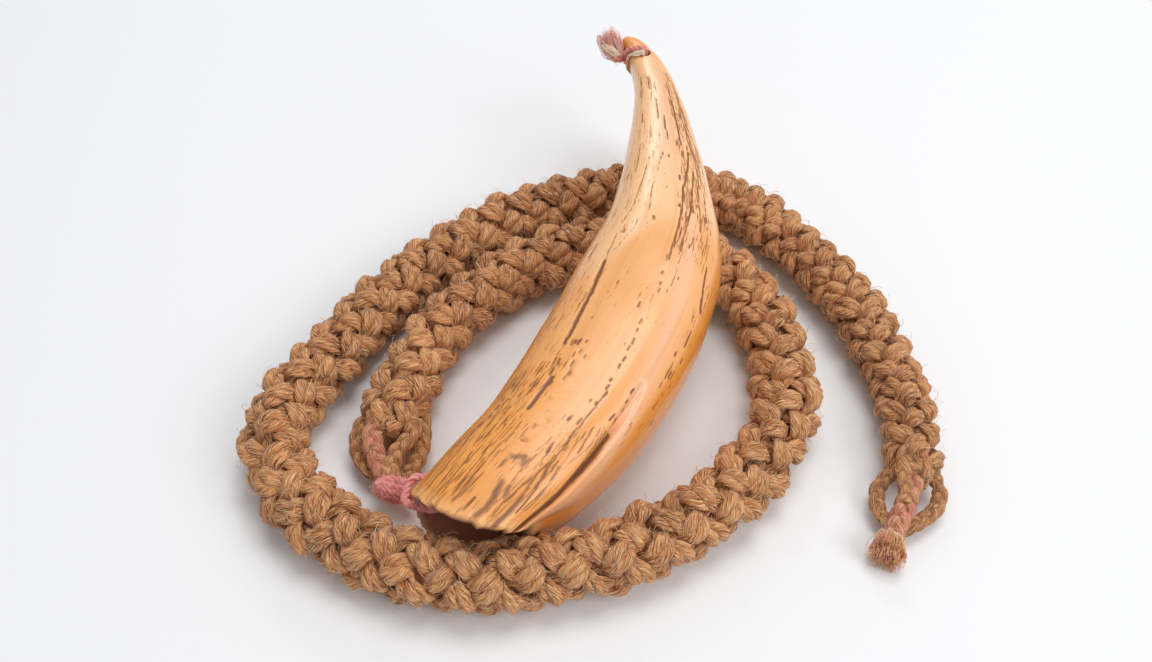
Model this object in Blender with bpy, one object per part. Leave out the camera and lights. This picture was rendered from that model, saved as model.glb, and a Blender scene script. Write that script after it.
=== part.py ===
"""A polished whale tooth on its plaited coconut-fibre cord.

The tooth lies on the rim of its hollow root, with its neck across a turn of the cord. Pink
wool ties the cord to the corner of the root, and a hole drilled near the tip holds a tie of
red wool and a cream strip. Metres, +Z up. +Y runs along the tooth's chord from the root to
the tip, and +X is towards its convex side. The tooth and its ties stand centred on the origin.
"""

from math import asin, copysign, cos, exp, pi, sin, sqrt

import bmesh
import bpy
from mathutils import Matrix, Vector

# Driving sizes
TOOTH_LENGTH = 0.180
ROOT_WALL = 0.0026
CAVITY_DEPTH = 0.072
RIM_TONGUE = 0.0058
RIM_HOOD = 0.0086
FURROW_DEPTH = 0.0022
FURROW_WIDTH = 0.0030
FURROW_LENGTH = 0.040
TIP_BORE = 0.0042
CORNER_BORE = 0.0034
CORNER_BORE_INSET = 0.0062
RED_YARN = 0.0018
CREAM_STRIP = 0.0012
PINK_YARN = 0.0024
ROPE_DIAMETER = 0.0190
STRAND_DIAMETER = 0.0056
CLEARANCE = 0.0003
REST_FLAT_DEPTH = 0.0004

# Where the middle of the root's mouth stands on the floor plan
ROOT_AT = Vector((-0.0073, -0.0844))

# The tooth's form as shares of its length: station, middle, half width, half thickness
TOOTH_FORM = (
    (0.00, -0.010, 0.089, 0.080),
    (0.05, 0.030, 0.105, 0.087),
    (0.15, 0.082, 0.112, 0.093),
    (0.30, 0.124, 0.117, 0.095),
    (0.45, 0.146, 0.111, 0.090),
    (0.53, 0.149, 0.098, 0.084),
    (0.60, 0.140, 0.084, 0.076),
    (0.72, 0.113, 0.064, 0.061),
    (0.84, 0.078, 0.044, 0.044),
    (0.93, 0.037, 0.032, 0.032),
    (1.00, -0.015, 0.019, 0.019),
)
ROUND_TIP_FROM = 0.94
CROWN_SQUARENESS = 2.7
BELLY_SQUARENESS = 2.6
REST_SHARE = 0.655
TIP_HOLE_SHARE = 0.936
TIP_HOLE_ACROSS = 0.031
FURROW_AT_RIM = 0.17 * pi
FURROW_AT_END = 0.27 * pi
FURROW_FADE = 0.35
RIM_FADE = 0.12
RIM_LEAN = 0.70

# The cord's centre on the floor plan, from the middle of the root's mouth
ROPE_ROUTE = (
    (-0.0335, 0.0262), (-0.0347, 0.0350), (-0.0338, 0.0545), (-0.0290, 0.0710),
    (-0.0214, 0.0858), (-0.0140, 0.0955), (0.0000, 0.1078), (0.0129, 0.1154), (0.0261, 0.1163),
    (0.0370, 0.1124), (0.0541, 0.1003), (0.0642, 0.0833), (0.0703, 0.0622),
    (0.0705, 0.0524), (0.0647, 0.0333), (0.0536, 0.0165), (0.0383, 0.0017),
    (0.0193, -0.0087), (-0.0035, -0.0163), (-0.0246, -0.0146), (-0.0445, -0.0076),
    (-0.0592, 0.0058), (-0.0633, 0.0151), (-0.0643, 0.0257), (-0.0587, 0.0473),
    (-0.0537, 0.0677), (-0.0456, 0.0863), (-0.0339, 0.1048), (-0.0177, 0.1220),
    (0.0027, 0.1350), (0.0277, 0.1420), (0.0399, 0.1410), (0.0507, 0.1371),
    (0.0696, 0.1219), (0.0857, 0.1038), (0.0982, 0.0815), (0.1028, 0.0691),
    (0.1058, 0.0569), (0.1068, 0.0490),
)

# The strands past each end of the plait, from the middle of the root's mouth, with heights
NEAR_LEFT = (
    (-0.0372, 0.0215, 0.0080), (-0.0405, 0.0180, 0.0062), (-0.0380, 0.0138, 0.0056),
    (-0.0328, 0.0103, 0.0056),
)
NEAR_MIDDLE = (
    (-0.0340, 0.0215, 0.0112), (-0.0352, 0.0172, 0.0106), (-0.0335, 0.0135, 0.0090),
    (-0.0303, 0.0105, 0.0075),
)
NEAR_RIGHT = (
    (-0.0290, 0.0215, 0.0080), (-0.0248, 0.0188, 0.0068), (-0.0242, 0.0150, 0.0058),
    (-0.0262, 0.0115, 0.0056),
)
FAR_LEFT = (
    (0.1038, 0.0450, 0.0070), (0.0990, 0.0402, 0.0045), (0.1000, 0.0335, 0.0038),
    (0.1036, 0.0290, 0.0046),
)
FAR_RIGHT = (
    (0.1098, 0.0450, 0.0070), (0.1146, 0.0436, 0.0050), (0.1140, 0.0378, 0.0042),
    (0.1074, 0.0312, 0.0046),
)
FAR_PLAIT = ((0.1069, 0.0455, 0.0094), (0.1056, 0.0360, 0.0076), (0.1034, 0.0262, 0.0046))
FAR_TUFT_END = (0.1022, 0.0182, 0.0040)
ROOT_KNOT = (-0.0258, 0.0055, 0.0080)
ROOT_KNOT_SIZE = (0.0122, 0.0074, 0.0084)
TIP_KNOT_SIZE = 0.0040
TUFT_LENGTH = 0.0108
TUFT_WIDTH = 0.0078
END_TAPER = 0.0065
TAIL_FROM = 0.72
TAIL_SIZE = 0.86
STUB_SIZE = 0.86
TUFT_END_WIDTH = 0.0070

# Facet counts
RINGS_ALONG = 36
TIP_RINGS = 8
SIDES_AROUND = 54
CAVITY_RINGS = 9
ROPE_POINTS = 78
STRAND_POINTS = 9
TIE_POINTS = 28
LOOP_POINTS = 15
LOOP_START = 0.60

EVENLY_SMALL = 1e-5


def along_curve(table, share, column):
    """A column of the table at any share, on a smooth curve through its rows."""
    last = len(table) - 1
    i = 0
    while i < last - 1 and share > table[i + 1][0]:
        i += 1
    before, low, high, after = (table[min(max(k, 0), last)] for k in (i - 1, i, i + 1, i + 2))
    span = high[0] - low[0]
    t = (share - low[0]) / span
    slope_low = (high[column] - before[column]) / (high[0] - before[0]) * span
    slope_high = (after[column] - low[column]) / (after[0] - low[0]) * span
    return (
        (2 * t**3 - 3 * t**2 + 1) * low[column]
        + (t**3 - 2 * t**2 + t) * slope_low
        + (3 * t**2 - 2 * t**3) * high[column]
        + (t**3 - t**2) * slope_high
    )


def round_off(share):
    """1 along the tooth, falling to 0 in a round end at the tip."""
    if share <= ROUND_TIP_FROM:
        return 1.0
    rest = (share - ROUND_TIP_FROM) / (1.0 - ROUND_TIP_FROM)
    return sqrt(max(0.0, 1.0 - rest * rest))


def middle(share):
    return along_curve(TOOTH_FORM, share, 1) * TOOTH_LENGTH


def half_width(share):
    return along_curve(TOOTH_FORM, share, 2) * TOOTH_LENGTH * round_off(share)


def half_thickness(share):
    return along_curve(TOOTH_FORM, share, 3) * TOOTH_LENGTH * round_off(share)


def powered(value, squareness):
    return copysign(abs(value) ** (2.0 / squareness), value)


def furrow(share, angle):
    """How far the furrow beside the convex edge cuts into the root, as a depth."""
    reach = FURROW_LENGTH / TOOTH_LENGTH
    if share >= reach:
        return 0.0
    part = share / reach
    centre = FURROW_AT_RIM + (FURROW_AT_END - FURROW_AT_RIM) * part
    off = (angle - centre) * half_width(share)
    fade = min(1.0, (1.0 - part) / FURROW_FADE)
    return FURROW_DEPTH * fade * exp(-((off / (FURROW_WIDTH / 2)) ** 2))


def rim_reach(share, angle):
    """The rim reaches out between its corners: a hood above, fullest beside the furrow."""
    fade = max(0.0, 1.0 - share / RIM_FADE) ** 2
    turn = angle / pi
    if turn > 1.0:
        return RIM_TONGUE * sin(angle) ** 2 * fade
    return RIM_HOOD * max(0.0, sin(pi * turn**RIM_LEAN)) ** 1.2 * fade


def surface(share, angle, inset=0.0):
    """A point of the tooth's skin: along the chord, across, and up from its middle plane."""
    squareness = CROWN_SQUARENESS if sin(angle) >= 0.0 else BELLY_SQUARENESS
    cut = furrow(share, angle) + inset
    wide = max(half_width(share) - cut, EVENLY_SMALL)
    thick = max(half_thickness(share) - cut, EVENLY_SMALL)
    along = share * TOOTH_LENGTH - rim_reach(share, angle)
    across = middle(share) + wide * powered(cos(angle), squareness)
    return Vector((across, along, thick * powered(sin(angle), squareness)))


# The root's rim stands on the floor and the neck on the cord, which sets the tilt
rope_top = ROPE_DIAMETER + CLEARANCE
root_height = half_thickness(0.0) - REST_FLAT_DEPTH
neck_height = rope_top + CLEARANCE + half_thickness(REST_SHARE)
tilt = asin((neck_height - root_height) / (REST_SHARE * TOOTH_LENGTH))
root_height += RIM_TONGUE * sin(tilt)
LYING = Matrix.Translation((ROOT_AT.x, ROOT_AT.y, root_height)) @ Matrix.Rotation(tilt, 4, "X")


def material(name, colour, roughness):
    made = bpy.data.materials.new(name)
    made.use_nodes = True
    shader = made.node_tree.nodes["Principled BSDF"]
    shader.inputs["Base Color"].default_value = (*colour, 1.0)
    shader.inputs["Roughness"].default_value = roughness
    shader.inputs["Metallic"].default_value = 0.0
    return made


def mesh_object(name, mesh, group, finish=None):
    made = bpy.data.objects.new(name, mesh)
    group.objects.link(made)
    if finish:
        mesh.materials.append(finish)
    if group is cutters:
        made.hide_render = True
        made.display_type = "WIRE"
    return made


def smooth(made, limit=0.7):
    made.data.shade_smooth()
    made.data.set_sharp_from_angle(angle=limit)


def joined_with(base, other, operation):
    step = base.modifiers.new(other.name, "BOOLEAN")
    step.operation = operation
    step.object = other


def tube(name, points, diameter, group, finish, closed=False, thinning=None):
    """A round bar along the points, made a closed mesh. thinning gives its size at each point."""
    curve = bpy.data.curves.new(name, "CURVE")
    curve.dimensions = "3D"
    curve.bevel_depth = diameter / 2
    curve.bevel_resolution = 2
    curve.use_fill_caps = not closed
    line = curve.splines.new("POLY")
    line.points.add(len(points) - 1)
    for spot, point in zip(line.points, points):
        spot.co = (*point, 1.0)
    if thinning:
        line.points.foreach_set("radius", thinning)
    line.use_cyclic_u = closed
    bent = bpy.data.objects.new(name + ".path", curve)
    bpy.context.scene.collection.objects.link(bent)
    seen = bent.evaluated_get(bpy.context.evaluated_depsgraph_get())
    mesh = bpy.data.meshes.new_from_object(seen)
    bpy.data.objects.remove(bent)
    work = bmesh.new()
    work.from_mesh(mesh)
    bmesh.ops.remove_doubles(work, verts=work.verts, dist=EVENLY_SMALL)
    bmesh.ops.recalc_face_normals(work, faces=work.faces)
    work.to_mesh(mesh)
    work.free()
    mesh.name = name
    made = mesh_object(name, mesh, group, finish)
    smooth(made)
    return made


def ball(name, centre, size, group, finish=None):
    """An egg of the given size along X, Y and Z."""
    mesh = bpy.data.meshes.new(name)
    work = bmesh.new()
    bmesh.ops.create_uvsphere(work, u_segments=14, v_segments=9, radius=0.5)
    bmesh.ops.scale(work, verts=work.verts, vec=size)
    bmesh.ops.translate(work, verts=work.verts, vec=centre)
    work.to_mesh(mesh)
    work.free()
    return mesh_object(name, mesh, group, finish)


def brush(name, start, end, narrow, wide, group, finish=None):
    """A bar that widens or narrows from start to end."""
    mesh = bpy.data.meshes.new(name)
    way = Vector(end) - Vector(start)
    work = bmesh.new()
    bmesh.ops.create_cone(
        work, cap_ends=True, segments=12, radius1=narrow / 2, radius2=wide / 2, depth=way.length,
    )
    place = Matrix.Translation((Vector(start) + Vector(end)) / 2)
    work.transform(place @ way.to_track_quat("Z", "Y").to_matrix().to_4x4())
    work.to_mesh(mesh)
    work.free()
    return mesh_object(name, mesh, group, finish)


def smooth_line(points, count):
    """The given number of places, evenly numbered, on a smooth curve through the points."""
    table = [(i, *point) for i, point in enumerate(points)]
    size = len(points[0])
    last = len(points) - 1
    places = []
    for k in range(count):
        at = last * k / (count - 1)
        places.append([along_curve(table, at, column) for column in range(1, size + 1)])
    return places


def ring_path(centre, side, up, half_side, half_up):
    """A closed loop with straight runs and round corners, in the plane of side and up."""
    path = []
    for k in range(TIE_POINTS):
        angle = 2 * pi * k / TIE_POINTS
        a = powered(cos(angle), 4.0) * half_side
        b = powered(sin(angle), 4.0) * half_up
        path.append(centre + side * a + up * b)
    return path


def on_floor(place):
    """A place given from the middle of the root's mouth."""
    return Vector((place[0] + ROOT_AT.x, place[1] + ROOT_AT.y, *place[2:]))


def rod(name, centre, direction, diameter, length):
    """A round drill, as a cutter."""
    mesh = bpy.data.meshes.new(name)
    work = bmesh.new()
    bmesh.ops.create_cone(
        work, cap_ends=True, segments=20, radius1=diameter / 2, radius2=diameter / 2, depth=length,
    )
    turn = direction.to_track_quat("Z", "Y").to_matrix().to_4x4()
    work.transform(Matrix.Translation(centre) @ turn)
    work.to_mesh(mesh)
    work.free()
    return mesh_object(name, mesh, cutters)


def floor_block():
    """The space under the floor, which gives the rim a small flat to stand on."""
    mesh = bpy.data.meshes.new("floor_block")
    work = bmesh.new()
    bmesh.ops.create_cube(work, size=TOOTH_LENGTH)
    low = Vector((ROOT_AT.x, ROOT_AT.y, -TOOTH_LENGTH / 2))
    bmesh.ops.translate(work, verts=work.verts, vec=low)
    work.to_mesh(mesh)
    work.free()
    return mesh_object("floor_block", mesh, cutters)


def tooth():
    """The tooth's skin and its pulp cavity, as one lofted shell, drilled twice."""
    work = bmesh.new()
    angles = [2 * pi * k / SIDES_AROUND for k in range(SIDES_AROUND)]
    shares = [ROUND_TIP_FROM * (k / RINGS_ALONG) ** 1.15 for k in range(RINGS_ALONG)]
    for k in range(TIP_RINGS):
        shares.append(ROUND_TIP_FROM + (1 - ROUND_TIP_FROM) * sin(pi / 2 * k / TIP_RINGS))
    rings = [[work.verts.new(surface(share, a)) for a in angles] for share in shares]
    tip = work.verts.new(surface(1.0, 0.0))
    depth = CAVITY_DEPTH / TOOTH_LENGTH
    inside = []
    for k in range(CAVITY_RINGS):
        part = k / CAVITY_RINGS
        narrowing = half_thickness(part * depth) - ROOT_WALL
        inset = ROOT_WALL + narrowing * part**1.6
        ring = []
        for a in angles:
            point = surface(part * depth, a, inset - furrow(part * depth, a))
            ring.append(work.verts.new(point))
        inside.append(ring)
    pulp_end = work.verts.new(surface(depth, pi / 2, half_thickness(depth)))
    rows = list(reversed(inside)) + rings
    for low, high in zip(rows, rows[1:]):
        for k in range(SIDES_AROUND):
            n = (k + 1) % SIDES_AROUND
            work.faces.new((low[k], low[n], high[n], high[k]))
    for k in range(SIDES_AROUND):
        n = (k + 1) % SIDES_AROUND
        work.faces.new((rows[-1][k], rows[-1][n], tip))
        work.faces.new((rows[0][n], rows[0][k], pulp_end))
    bmesh.ops.recalc_face_normals(work, faces=work.faces)
    work.transform(LYING)
    mesh = bpy.data.meshes.new("tooth")
    work.to_mesh(mesh)
    work.free()
    made = mesh_object("tooth", mesh, parts, ivory)
    smooth(made, 1.0)
    joined_with(made, floor_block(), "DIFFERENCE")
    up = LYING.to_3x3() @ Vector((0, 0, 1))
    joined_with(made, rod("tip_drill", tip_hole(), up, TIP_BORE, ROPE_DIAMETER * 2), "DIFFERENCE")
    side = Vector((1, 0, 0))
    wall = corner_hole()
    joined_with(made, rod("corner_drill", wall, side, CORNER_BORE, ROOT_WALL * 3), "DIFFERENCE")
    return made


def tip_hole(shift=0.0):
    """The middle of the hole near the tip, or a place beside it along the tooth."""
    along = TIP_HOLE_SHARE * TOOTH_LENGTH + shift
    return LYING @ Vector((TIP_HOLE_ACROSS * TOOTH_LENGTH, along, 0.0))


def corner_hole():
    """The middle of the hole through the root's wall, on its concave side."""
    share = CORNER_BORE_INSET / TOOTH_LENGTH
    edge = surface(share, pi)
    return LYING @ Vector((edge.x + ROOT_WALL / 2, edge.y, 0.0))


def tip_loop(name, shift, diameter, finish):
    """A loop of yarn up through the tip's hole and round the concave edge, close to it."""
    share = TIP_HOLE_SHARE + shift / TOOTH_LENGTH
    off = -(CLEARANCE * 2 + diameter / 2)
    hole = TIP_HOLE_ACROSS * TOOTH_LENGTH
    above = half_thickness(share) - off
    path = [Vector((hole, share * TOOTH_LENGTH, above * side)) for side in (-1.0, 0.0, 1.0)]
    for k in range(LOOP_POINTS):
        angle = pi * (LOOP_START + (2.0 - 2.0 * LOOP_START) * k / (LOOP_POINTS - 1))
        path.append(surface(share, angle, off))
    return tube(name, [LYING @ place for place in path], diameter, parts, finish, closed=True)


def tip_ties():
    """The red wool loop with its knot and tuft, and the cream strip beside it."""
    apart = (RED_YARN + CREAM_STRIP) / 2 + CLEARANCE
    middle_of_both = (RED_YARN - CREAM_STRIP) / 4
    wool = tip_loop("tip_wool_tie", apart / 2 - middle_of_both, RED_YARN, red_wool)
    tip_loop("tip_cream_strip", -apart / 2 - middle_of_both, CREAM_STRIP, cream)
    edge = surface(TIP_HOLE_SHARE + TIP_KNOT_SIZE / 2 / TOOTH_LENGTH, pi)
    beyond = CLEARANCE * 2 + RED_YARN / 2 + TIP_KNOT_SIZE * 0.45
    knot = LYING @ (edge - Vector((beyond, 0.0, 0.0)))
    size = (TIP_KNOT_SIZE, TIP_KNOT_SIZE, TIP_KNOT_SIZE)
    joined_with(wool, ball("tip_knot", knot, size, cutters), "UNION")
    away = LYING.to_3x3() @ Vector((-0.56, 0.82, 0.06)).normalized()
    end = knot + away * TUFT_LENGTH
    joined_with(wool, brush("tip_tuft", knot, end, RED_YARN * 1.6, TUFT_WIDTH, cutters), "UNION")


def root_tie():
    """Pink wool through the hole in the root's wall, knotted round the cord's strands."""
    frame = LYING.to_3x3()
    share = CORNER_BORE_INSET / TOOTH_LENGTH
    edge = surface(share, pi)
    beyond = -PINK_YARN / 2 - CLEARANCE * 3
    inner = edge.x + ROOT_WALL + CLEARANCE * 3 + PINK_YARN / 2
    outer = surface(0.0, pi).x - CLEARANCE * 4 - PINK_YARN / 2
    centre = LYING @ Vector(((inner + outer) / 2, (edge.y + beyond) / 2, 0.0))
    path = ring_path(centre, frame @ Vector((1, 0, 0)), frame @ Vector((0, 1, 0)),
                     (inner - outer) / 2, (edge.y - beyond) / 2)
    wool = tube("root_wool_tie", path, PINK_YARN, parts, pink_wool, closed=True)
    knot = on_floor(ROOT_KNOT)
    joined_with(wool, ball("root_knot", knot, ROOT_KNOT_SIZE, cutters), "UNION")
    down = [path[TIE_POINTS // 2], knot]
    joined_with(wool, tube("root_yarn_end", down, PINK_YARN, cutters, None), "UNION")


def tail_thinning(share):
    """The plait is full along most of its length and slimmer towards its loose end."""
    late = max(0.0, (share - TAIL_FROM) / (1.0 - TAIL_FROM))
    return 1.0 - (1.0 - TAIL_SIZE) * (3 * late**2 - 2 * late**3)


def rope():
    """The plaited cord as a plain round bar, and the loose strands past its two ends."""
    thinning = [tail_thinning(k / (ROPE_POINTS - 1)) for k in range(ROPE_POINTS)]
    flat = smooth_line(ROPE_ROUTE, ROPE_POINTS)
    line = []
    for place, size in zip(flat, thinning):
        line.append((*on_floor(place), ROPE_DIAMETER / 2 * size + CLEARANCE))
    tube("coir_rope", line, ROPE_DIAMETER, parts, coir, thinning=thinning)
    ends = {
        "rope_near_end": (line[1], line[0], 1.0, (NEAR_LEFT, NEAR_MIDDLE, NEAR_RIGHT)),
        "rope_far_end": (line[-2], line[-1], TAIL_SIZE, (FAR_LEFT, FAR_PLAIT, FAR_RIGHT)),
    }
    made = {}
    for name, (before, last, size, strands) in ends.items():
        onward = (Vector(last) - Vector(before)).normalized()
        start = Vector(last) + onward * CLEARANCE
        end = start + onward * END_TAPER
        wide = ROPE_DIAMETER * size * STUB_SIZE
        made[name] = brush(name, start, end, wide, STRAND_DIAMETER * 1.6, parts, coir)
        for i, strand in enumerate(strands):
            places = [on_floor(place) for place in smooth_line(strand, STRAND_POINTS)]
            extra = tube(f"{name}_{i}", places, STRAND_DIAMETER, cutters, None)
            joined_with(made[name], extra, "UNION")
    tuft = brush("far_tuft", on_floor(FAR_PLAIT[-1]), on_floor(FAR_TUFT_END),
                 STRAND_DIAMETER * 0.8, TUFT_END_WIDTH, cutters)
    joined_with(made["rope_far_end"], tuft, "UNION")


for old in list(bpy.data.objects):
    bpy.data.objects.remove(old, do_unlink=True)

parts = bpy.data.collections.new("whale_tooth")
cutters = bpy.data.collections.new("cutters")
bpy.context.scene.collection.children.link(parts)
bpy.context.scene.collection.children.link(cutters)

ivory = material("polished_tooth", (0.86, 0.55, 0.26), 0.32)
coir = material("coconut_fibre", (0.25, 0.12, 0.055), 0.85)
red_wool = material("red_wool", (0.72, 0.24, 0.20), 0.95)
pink_wool = material("pink_wool", (0.80, 0.30, 0.28), 0.95)
cream = material("cream_strip", (0.72, 0.60, 0.44), 0.80)

tooth()
tip_ties()
root_tie()
rope()
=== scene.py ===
# %% [markdown]
# # A polished whale tooth on its plaited coconut-fibre cord
#
# The tooth of a sperm whale, oiled and polished until it turned orange, lies on the rim of its
# hollow root with its neck across a turn of thick plaited cord. This file dresses the packed
# solids: it makes the camera, the cord, the tooth, its wool ties, the floor and the light.
#
# All lengths are metres, +Z is up, and +Y runs along the tooth from its root to its tip.

from math import asin, pi, radians, sin, tau

import bpy
import bmesh
import numpy as np
from mathutils import Matrix, Vector
from mathutils.bvhtree import BVHTree


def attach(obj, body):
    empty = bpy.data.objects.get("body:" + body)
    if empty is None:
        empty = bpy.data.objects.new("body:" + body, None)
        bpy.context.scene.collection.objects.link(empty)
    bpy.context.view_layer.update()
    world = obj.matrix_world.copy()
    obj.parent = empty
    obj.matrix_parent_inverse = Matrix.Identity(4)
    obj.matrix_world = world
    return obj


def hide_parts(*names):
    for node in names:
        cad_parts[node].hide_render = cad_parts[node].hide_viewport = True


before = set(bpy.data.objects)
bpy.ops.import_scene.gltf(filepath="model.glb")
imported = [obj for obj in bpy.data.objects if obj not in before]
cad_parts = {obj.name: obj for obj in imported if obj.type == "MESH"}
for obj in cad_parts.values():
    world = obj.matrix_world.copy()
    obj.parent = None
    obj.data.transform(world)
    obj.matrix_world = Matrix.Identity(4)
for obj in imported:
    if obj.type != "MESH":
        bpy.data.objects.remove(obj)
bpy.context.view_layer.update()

# %% [markdown]
# ## Small tools
#
# A colour is read off as a hex code, which is written for the eye, and Blender wants light
# energy, so one function turns the one into the other. Another adds a node, with its settings
# and what goes into its sockets, so that a tree reads as a list of steps.

# %% Colours and nodes
SCENE = bpy.context.scene
MATH = "ShaderNodeMath"
VECTOR = "ShaderNodeVectorMath"
NOISE = "ShaderNodeTexNoise"


def hex_linear(code):
    """A hex colour as linear red, green, blue and alpha."""
    parts = [int(code[i : i + 2], 16) / 255 for i in (1, 3, 5)]
    return (*(c / 12.92 if c <= 0.04045 else ((c + 0.055) / 1.055) ** 2.4 for c in parts), 1.0)


def feed(node, inputs):
    """Gives each named socket of a node a value, another node, or one output of another node."""
    for name, value in inputs.items():
        if isinstance(value, bpy.types.Node):
            value = value.outputs[0]
        if isinstance(value, bpy.types.NodeSocket):
            node.id_data.links.new(value, node.inputs[name])
        else:
            node.inputs[name].default_value = value


def add(tree, kind, inputs=None, **settings):
    """Adds a node to the tree, with its settings and what goes into its sockets."""
    node = tree.nodes.new(kind)
    for name, value in settings.items():
        setattr(node, name, value)
    feed(node, inputs or {})
    return node


def new_material(name):
    """A material, with its node tree and its shader."""
    made = bpy.data.materials.new(name)
    made.use_nodes = True
    return made, made.node_tree, made.node_tree.nodes["Principled BSDF"]


def unit(vectors):
    """The same directions, each with a length of 1."""
    return vectors / np.maximum(np.linalg.norm(vectors, axis=-1, keepdims=True), 1e-9)


# %% [markdown]
# ## The camera
#
# The photograph was taken from above and in front, 47 degrees down and turned a little to the
# left. The camera's place was worked out from points of the object whose sizes are known.

# %% Camera
camera_data = bpy.data.cameras.new("camera")
camera_data.sensor_width = 36.0
camera_data.lens = 35.94
camera_data.clip_start = 0.01
camera = bpy.data.objects.new("camera", camera_data)
SCENE.collection.objects.link(camera)
camera.location = (0.05797, -0.23845, 0.26)
camera.rotation_euler = (radians(43.0), 0.0, radians(14.54))
SCENE.camera = camera

# %% [markdown]
# ## Smooth curves through a few points
#
# The cord's route and the tooth's outline are both short tables of measured stations. One
# function gives a smooth curve through the rows of such a table, at as many places as wanted.

# %% Curves through tables
def through(table, at, column):
    """A column of the table at the given stations, on a smooth curve through its rows."""
    rows = np.array(table, dtype=float)
    at = np.asarray(at, dtype=float)
    last = len(rows) - 1
    i = np.clip(np.searchsorted(rows[:, 0], at, side="left") - 1, 0, last - 1)
    before, after = rows[np.maximum(i - 1, 0)], rows[np.minimum(i + 2, last)]
    low, high = rows[i], rows[i + 1]
    span = high[..., 0] - low[..., 0]
    t = (at - low[..., 0]) / span
    slope_low = (high[..., column] - before[..., column]) / (high[..., 0] - before[..., 0]) * span
    slope_high = (after[..., column] - low[..., column]) / (after[..., 0] - low[..., 0]) * span
    return (
        (2 * t**3 - 3 * t**2 + 1) * low[..., column]
        + (t**3 - 2 * t**2 + t) * slope_low
        + (3 * t**2 - 2 * t**3) * high[..., column]
        + (t**3 - t**2) * slope_high
    )


def smooth_line(points, count):
    """The given number of places on a smooth curve through the points."""
    table = [(i, *point) for i, point in enumerate(points)]
    at = np.linspace(0, len(points) - 1, count)
    return np.stack([through(table, at, c + 1) for c in range(len(points[0]))], axis=1)


def evenly(line, step):
    """The line again, with its points the given distance apart."""
    length = np.concatenate(([0.0], np.cumsum(np.linalg.norm(np.diff(line, axis=0), axis=1))))
    count = max(3, int(round(length[-1] / step)) + 1)
    at = np.linspace(0, length[-1], count)
    return np.stack([np.interp(at, length, line[:, c]) for c in range(line.shape[1])], axis=1)


# %% [markdown]
# ## The cord's route
#
# The cord is one length of thick plait, about 0.7 m, and the photograph shows it from end to
# end. It leaves the tooth's root, passes under the neck, comes round in front of the root, and
# goes once more round the outside to its loose, frayed end. It lies flat on the table, so its
# centre is half its thickness up, and it slims a little towards the loose end.

# %% Route of the cord
ROOT_AT = np.array((-0.0073, -0.0844))
ROPE_DIAMETER = 0.0190
CLEARANCE = 0.0003
STEP = 0.001
TAIL_FROM = 0.72
TAIL_SIZE = 0.86
ROPE_ROUTE = (
    (-0.0335, 0.0262), (-0.0347, 0.0350), (-0.0338, 0.0545), (-0.0290, 0.0710),
    (-0.0214, 0.0858), (-0.0140, 0.0955), (0.0000, 0.1078), (0.0129, 0.1154), (0.0261, 0.1163),
    (0.0370, 0.1124), (0.0541, 0.1003), (0.0642, 0.0833), (0.0703, 0.0622),
    (0.0705, 0.0524), (0.0647, 0.0333), (0.0536, 0.0165), (0.0383, 0.0017),
    (0.0193, -0.0087), (-0.0035, -0.0163), (-0.0246, -0.0146), (-0.0445, -0.0076),
    (-0.0592, 0.0058), (-0.0633, 0.0151), (-0.0643, 0.0257), (-0.0587, 0.0473),
    (-0.0537, 0.0677), (-0.0456, 0.0863), (-0.0339, 0.1048), (-0.0177, 0.1220),
    (0.0027, 0.1350), (0.0277, 0.1420), (0.0399, 0.1410), (0.0507, 0.1371),
    (0.0696, 0.1219), (0.0857, 0.1038), (0.0982, 0.0815), (0.1028, 0.0691),
    (0.1058, 0.0569), (0.1068, 0.0490),
)


def on_floor(points):
    """Places given from the middle of the root's mouth, in the frame of the whole part."""
    moved = np.array(points, dtype=float)
    moved[:, :2] += ROOT_AT
    return moved


late = np.clip((np.linspace(0, 1, 1600) - TAIL_FROM) / (1 - TAIL_FROM), 0, 1)
thinning = 1 - (1 - TAIL_SIZE) * (3 * late**2 - 2 * late**3)
flat = on_floor(smooth_line(ROPE_ROUTE, 1600))
route = evenly(np.column_stack((flat, ROPE_DIAMETER / 2 * thinning + CLEARANCE, thinning)), STEP)

# %% [markdown]
# ## How the cord is plaited
#
# The real cord is a round plait of eight leads: four wind one way, four the other, and each
# goes over one and under one of those it meets. That gives eight columns of lumps, whose slant
# changes from each column to the next. Each lead is a loose bundle of coconut fibre, rolled by
# hand and twisted from smaller ones. A lumpy displaced tube would be quicker, but it shows
# no gaps between the leads and no fibres that run along them.
#
# So the leads are lines first, worked out here. A lead winds round the centre line once in
# each pitch, and moves outwards and inwards as it goes over and under.

# %% Leads of the round plait
PITCH = 0.042
LEAD_REACH = 0.0053
WEAVE_DEPTH = 0.0021
OVER_SHARPNESS = 1.7
END_TAPER = 0.0065
CLOSING_LENGTH = END_TAPER * 1.9
CLOSED_SIZE = 0.45
UNEVEN_TURN = 0.08
UNEVEN_REACH = 0.00050
UNEVEN_SIZE = 0.09
loose_hand = np.random.default_rng(11)


def wandering(count, knots, amount):
    """A smooth random wave: the unevenness of a thing pulled tight by hand."""
    values = loose_hand.normal(0, amount, knots)
    return np.interp(np.linspace(0, knots - 1, count), np.arange(knots), values)


def frames_along(line):
    """Unit vectors along the line, level to its side, and upwards."""
    onward = unit(np.gradient(line, axis=0))
    side = unit(np.cross((0.0, 0.0, 1.0), onward))
    return onward, side, np.cross(onward, side)


def lead_line(line, out, size, lift, shade):
    """One lead as a dictionary of its points and what the node tree needs to know of them."""
    gone = np.concatenate(([0.0], np.cumsum(np.linalg.norm(np.diff(line, axis=0), axis=1))))
    return {"at": line, "outward": out, "size": size, "along": gone, "lift": lift, "shade": shade}


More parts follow.
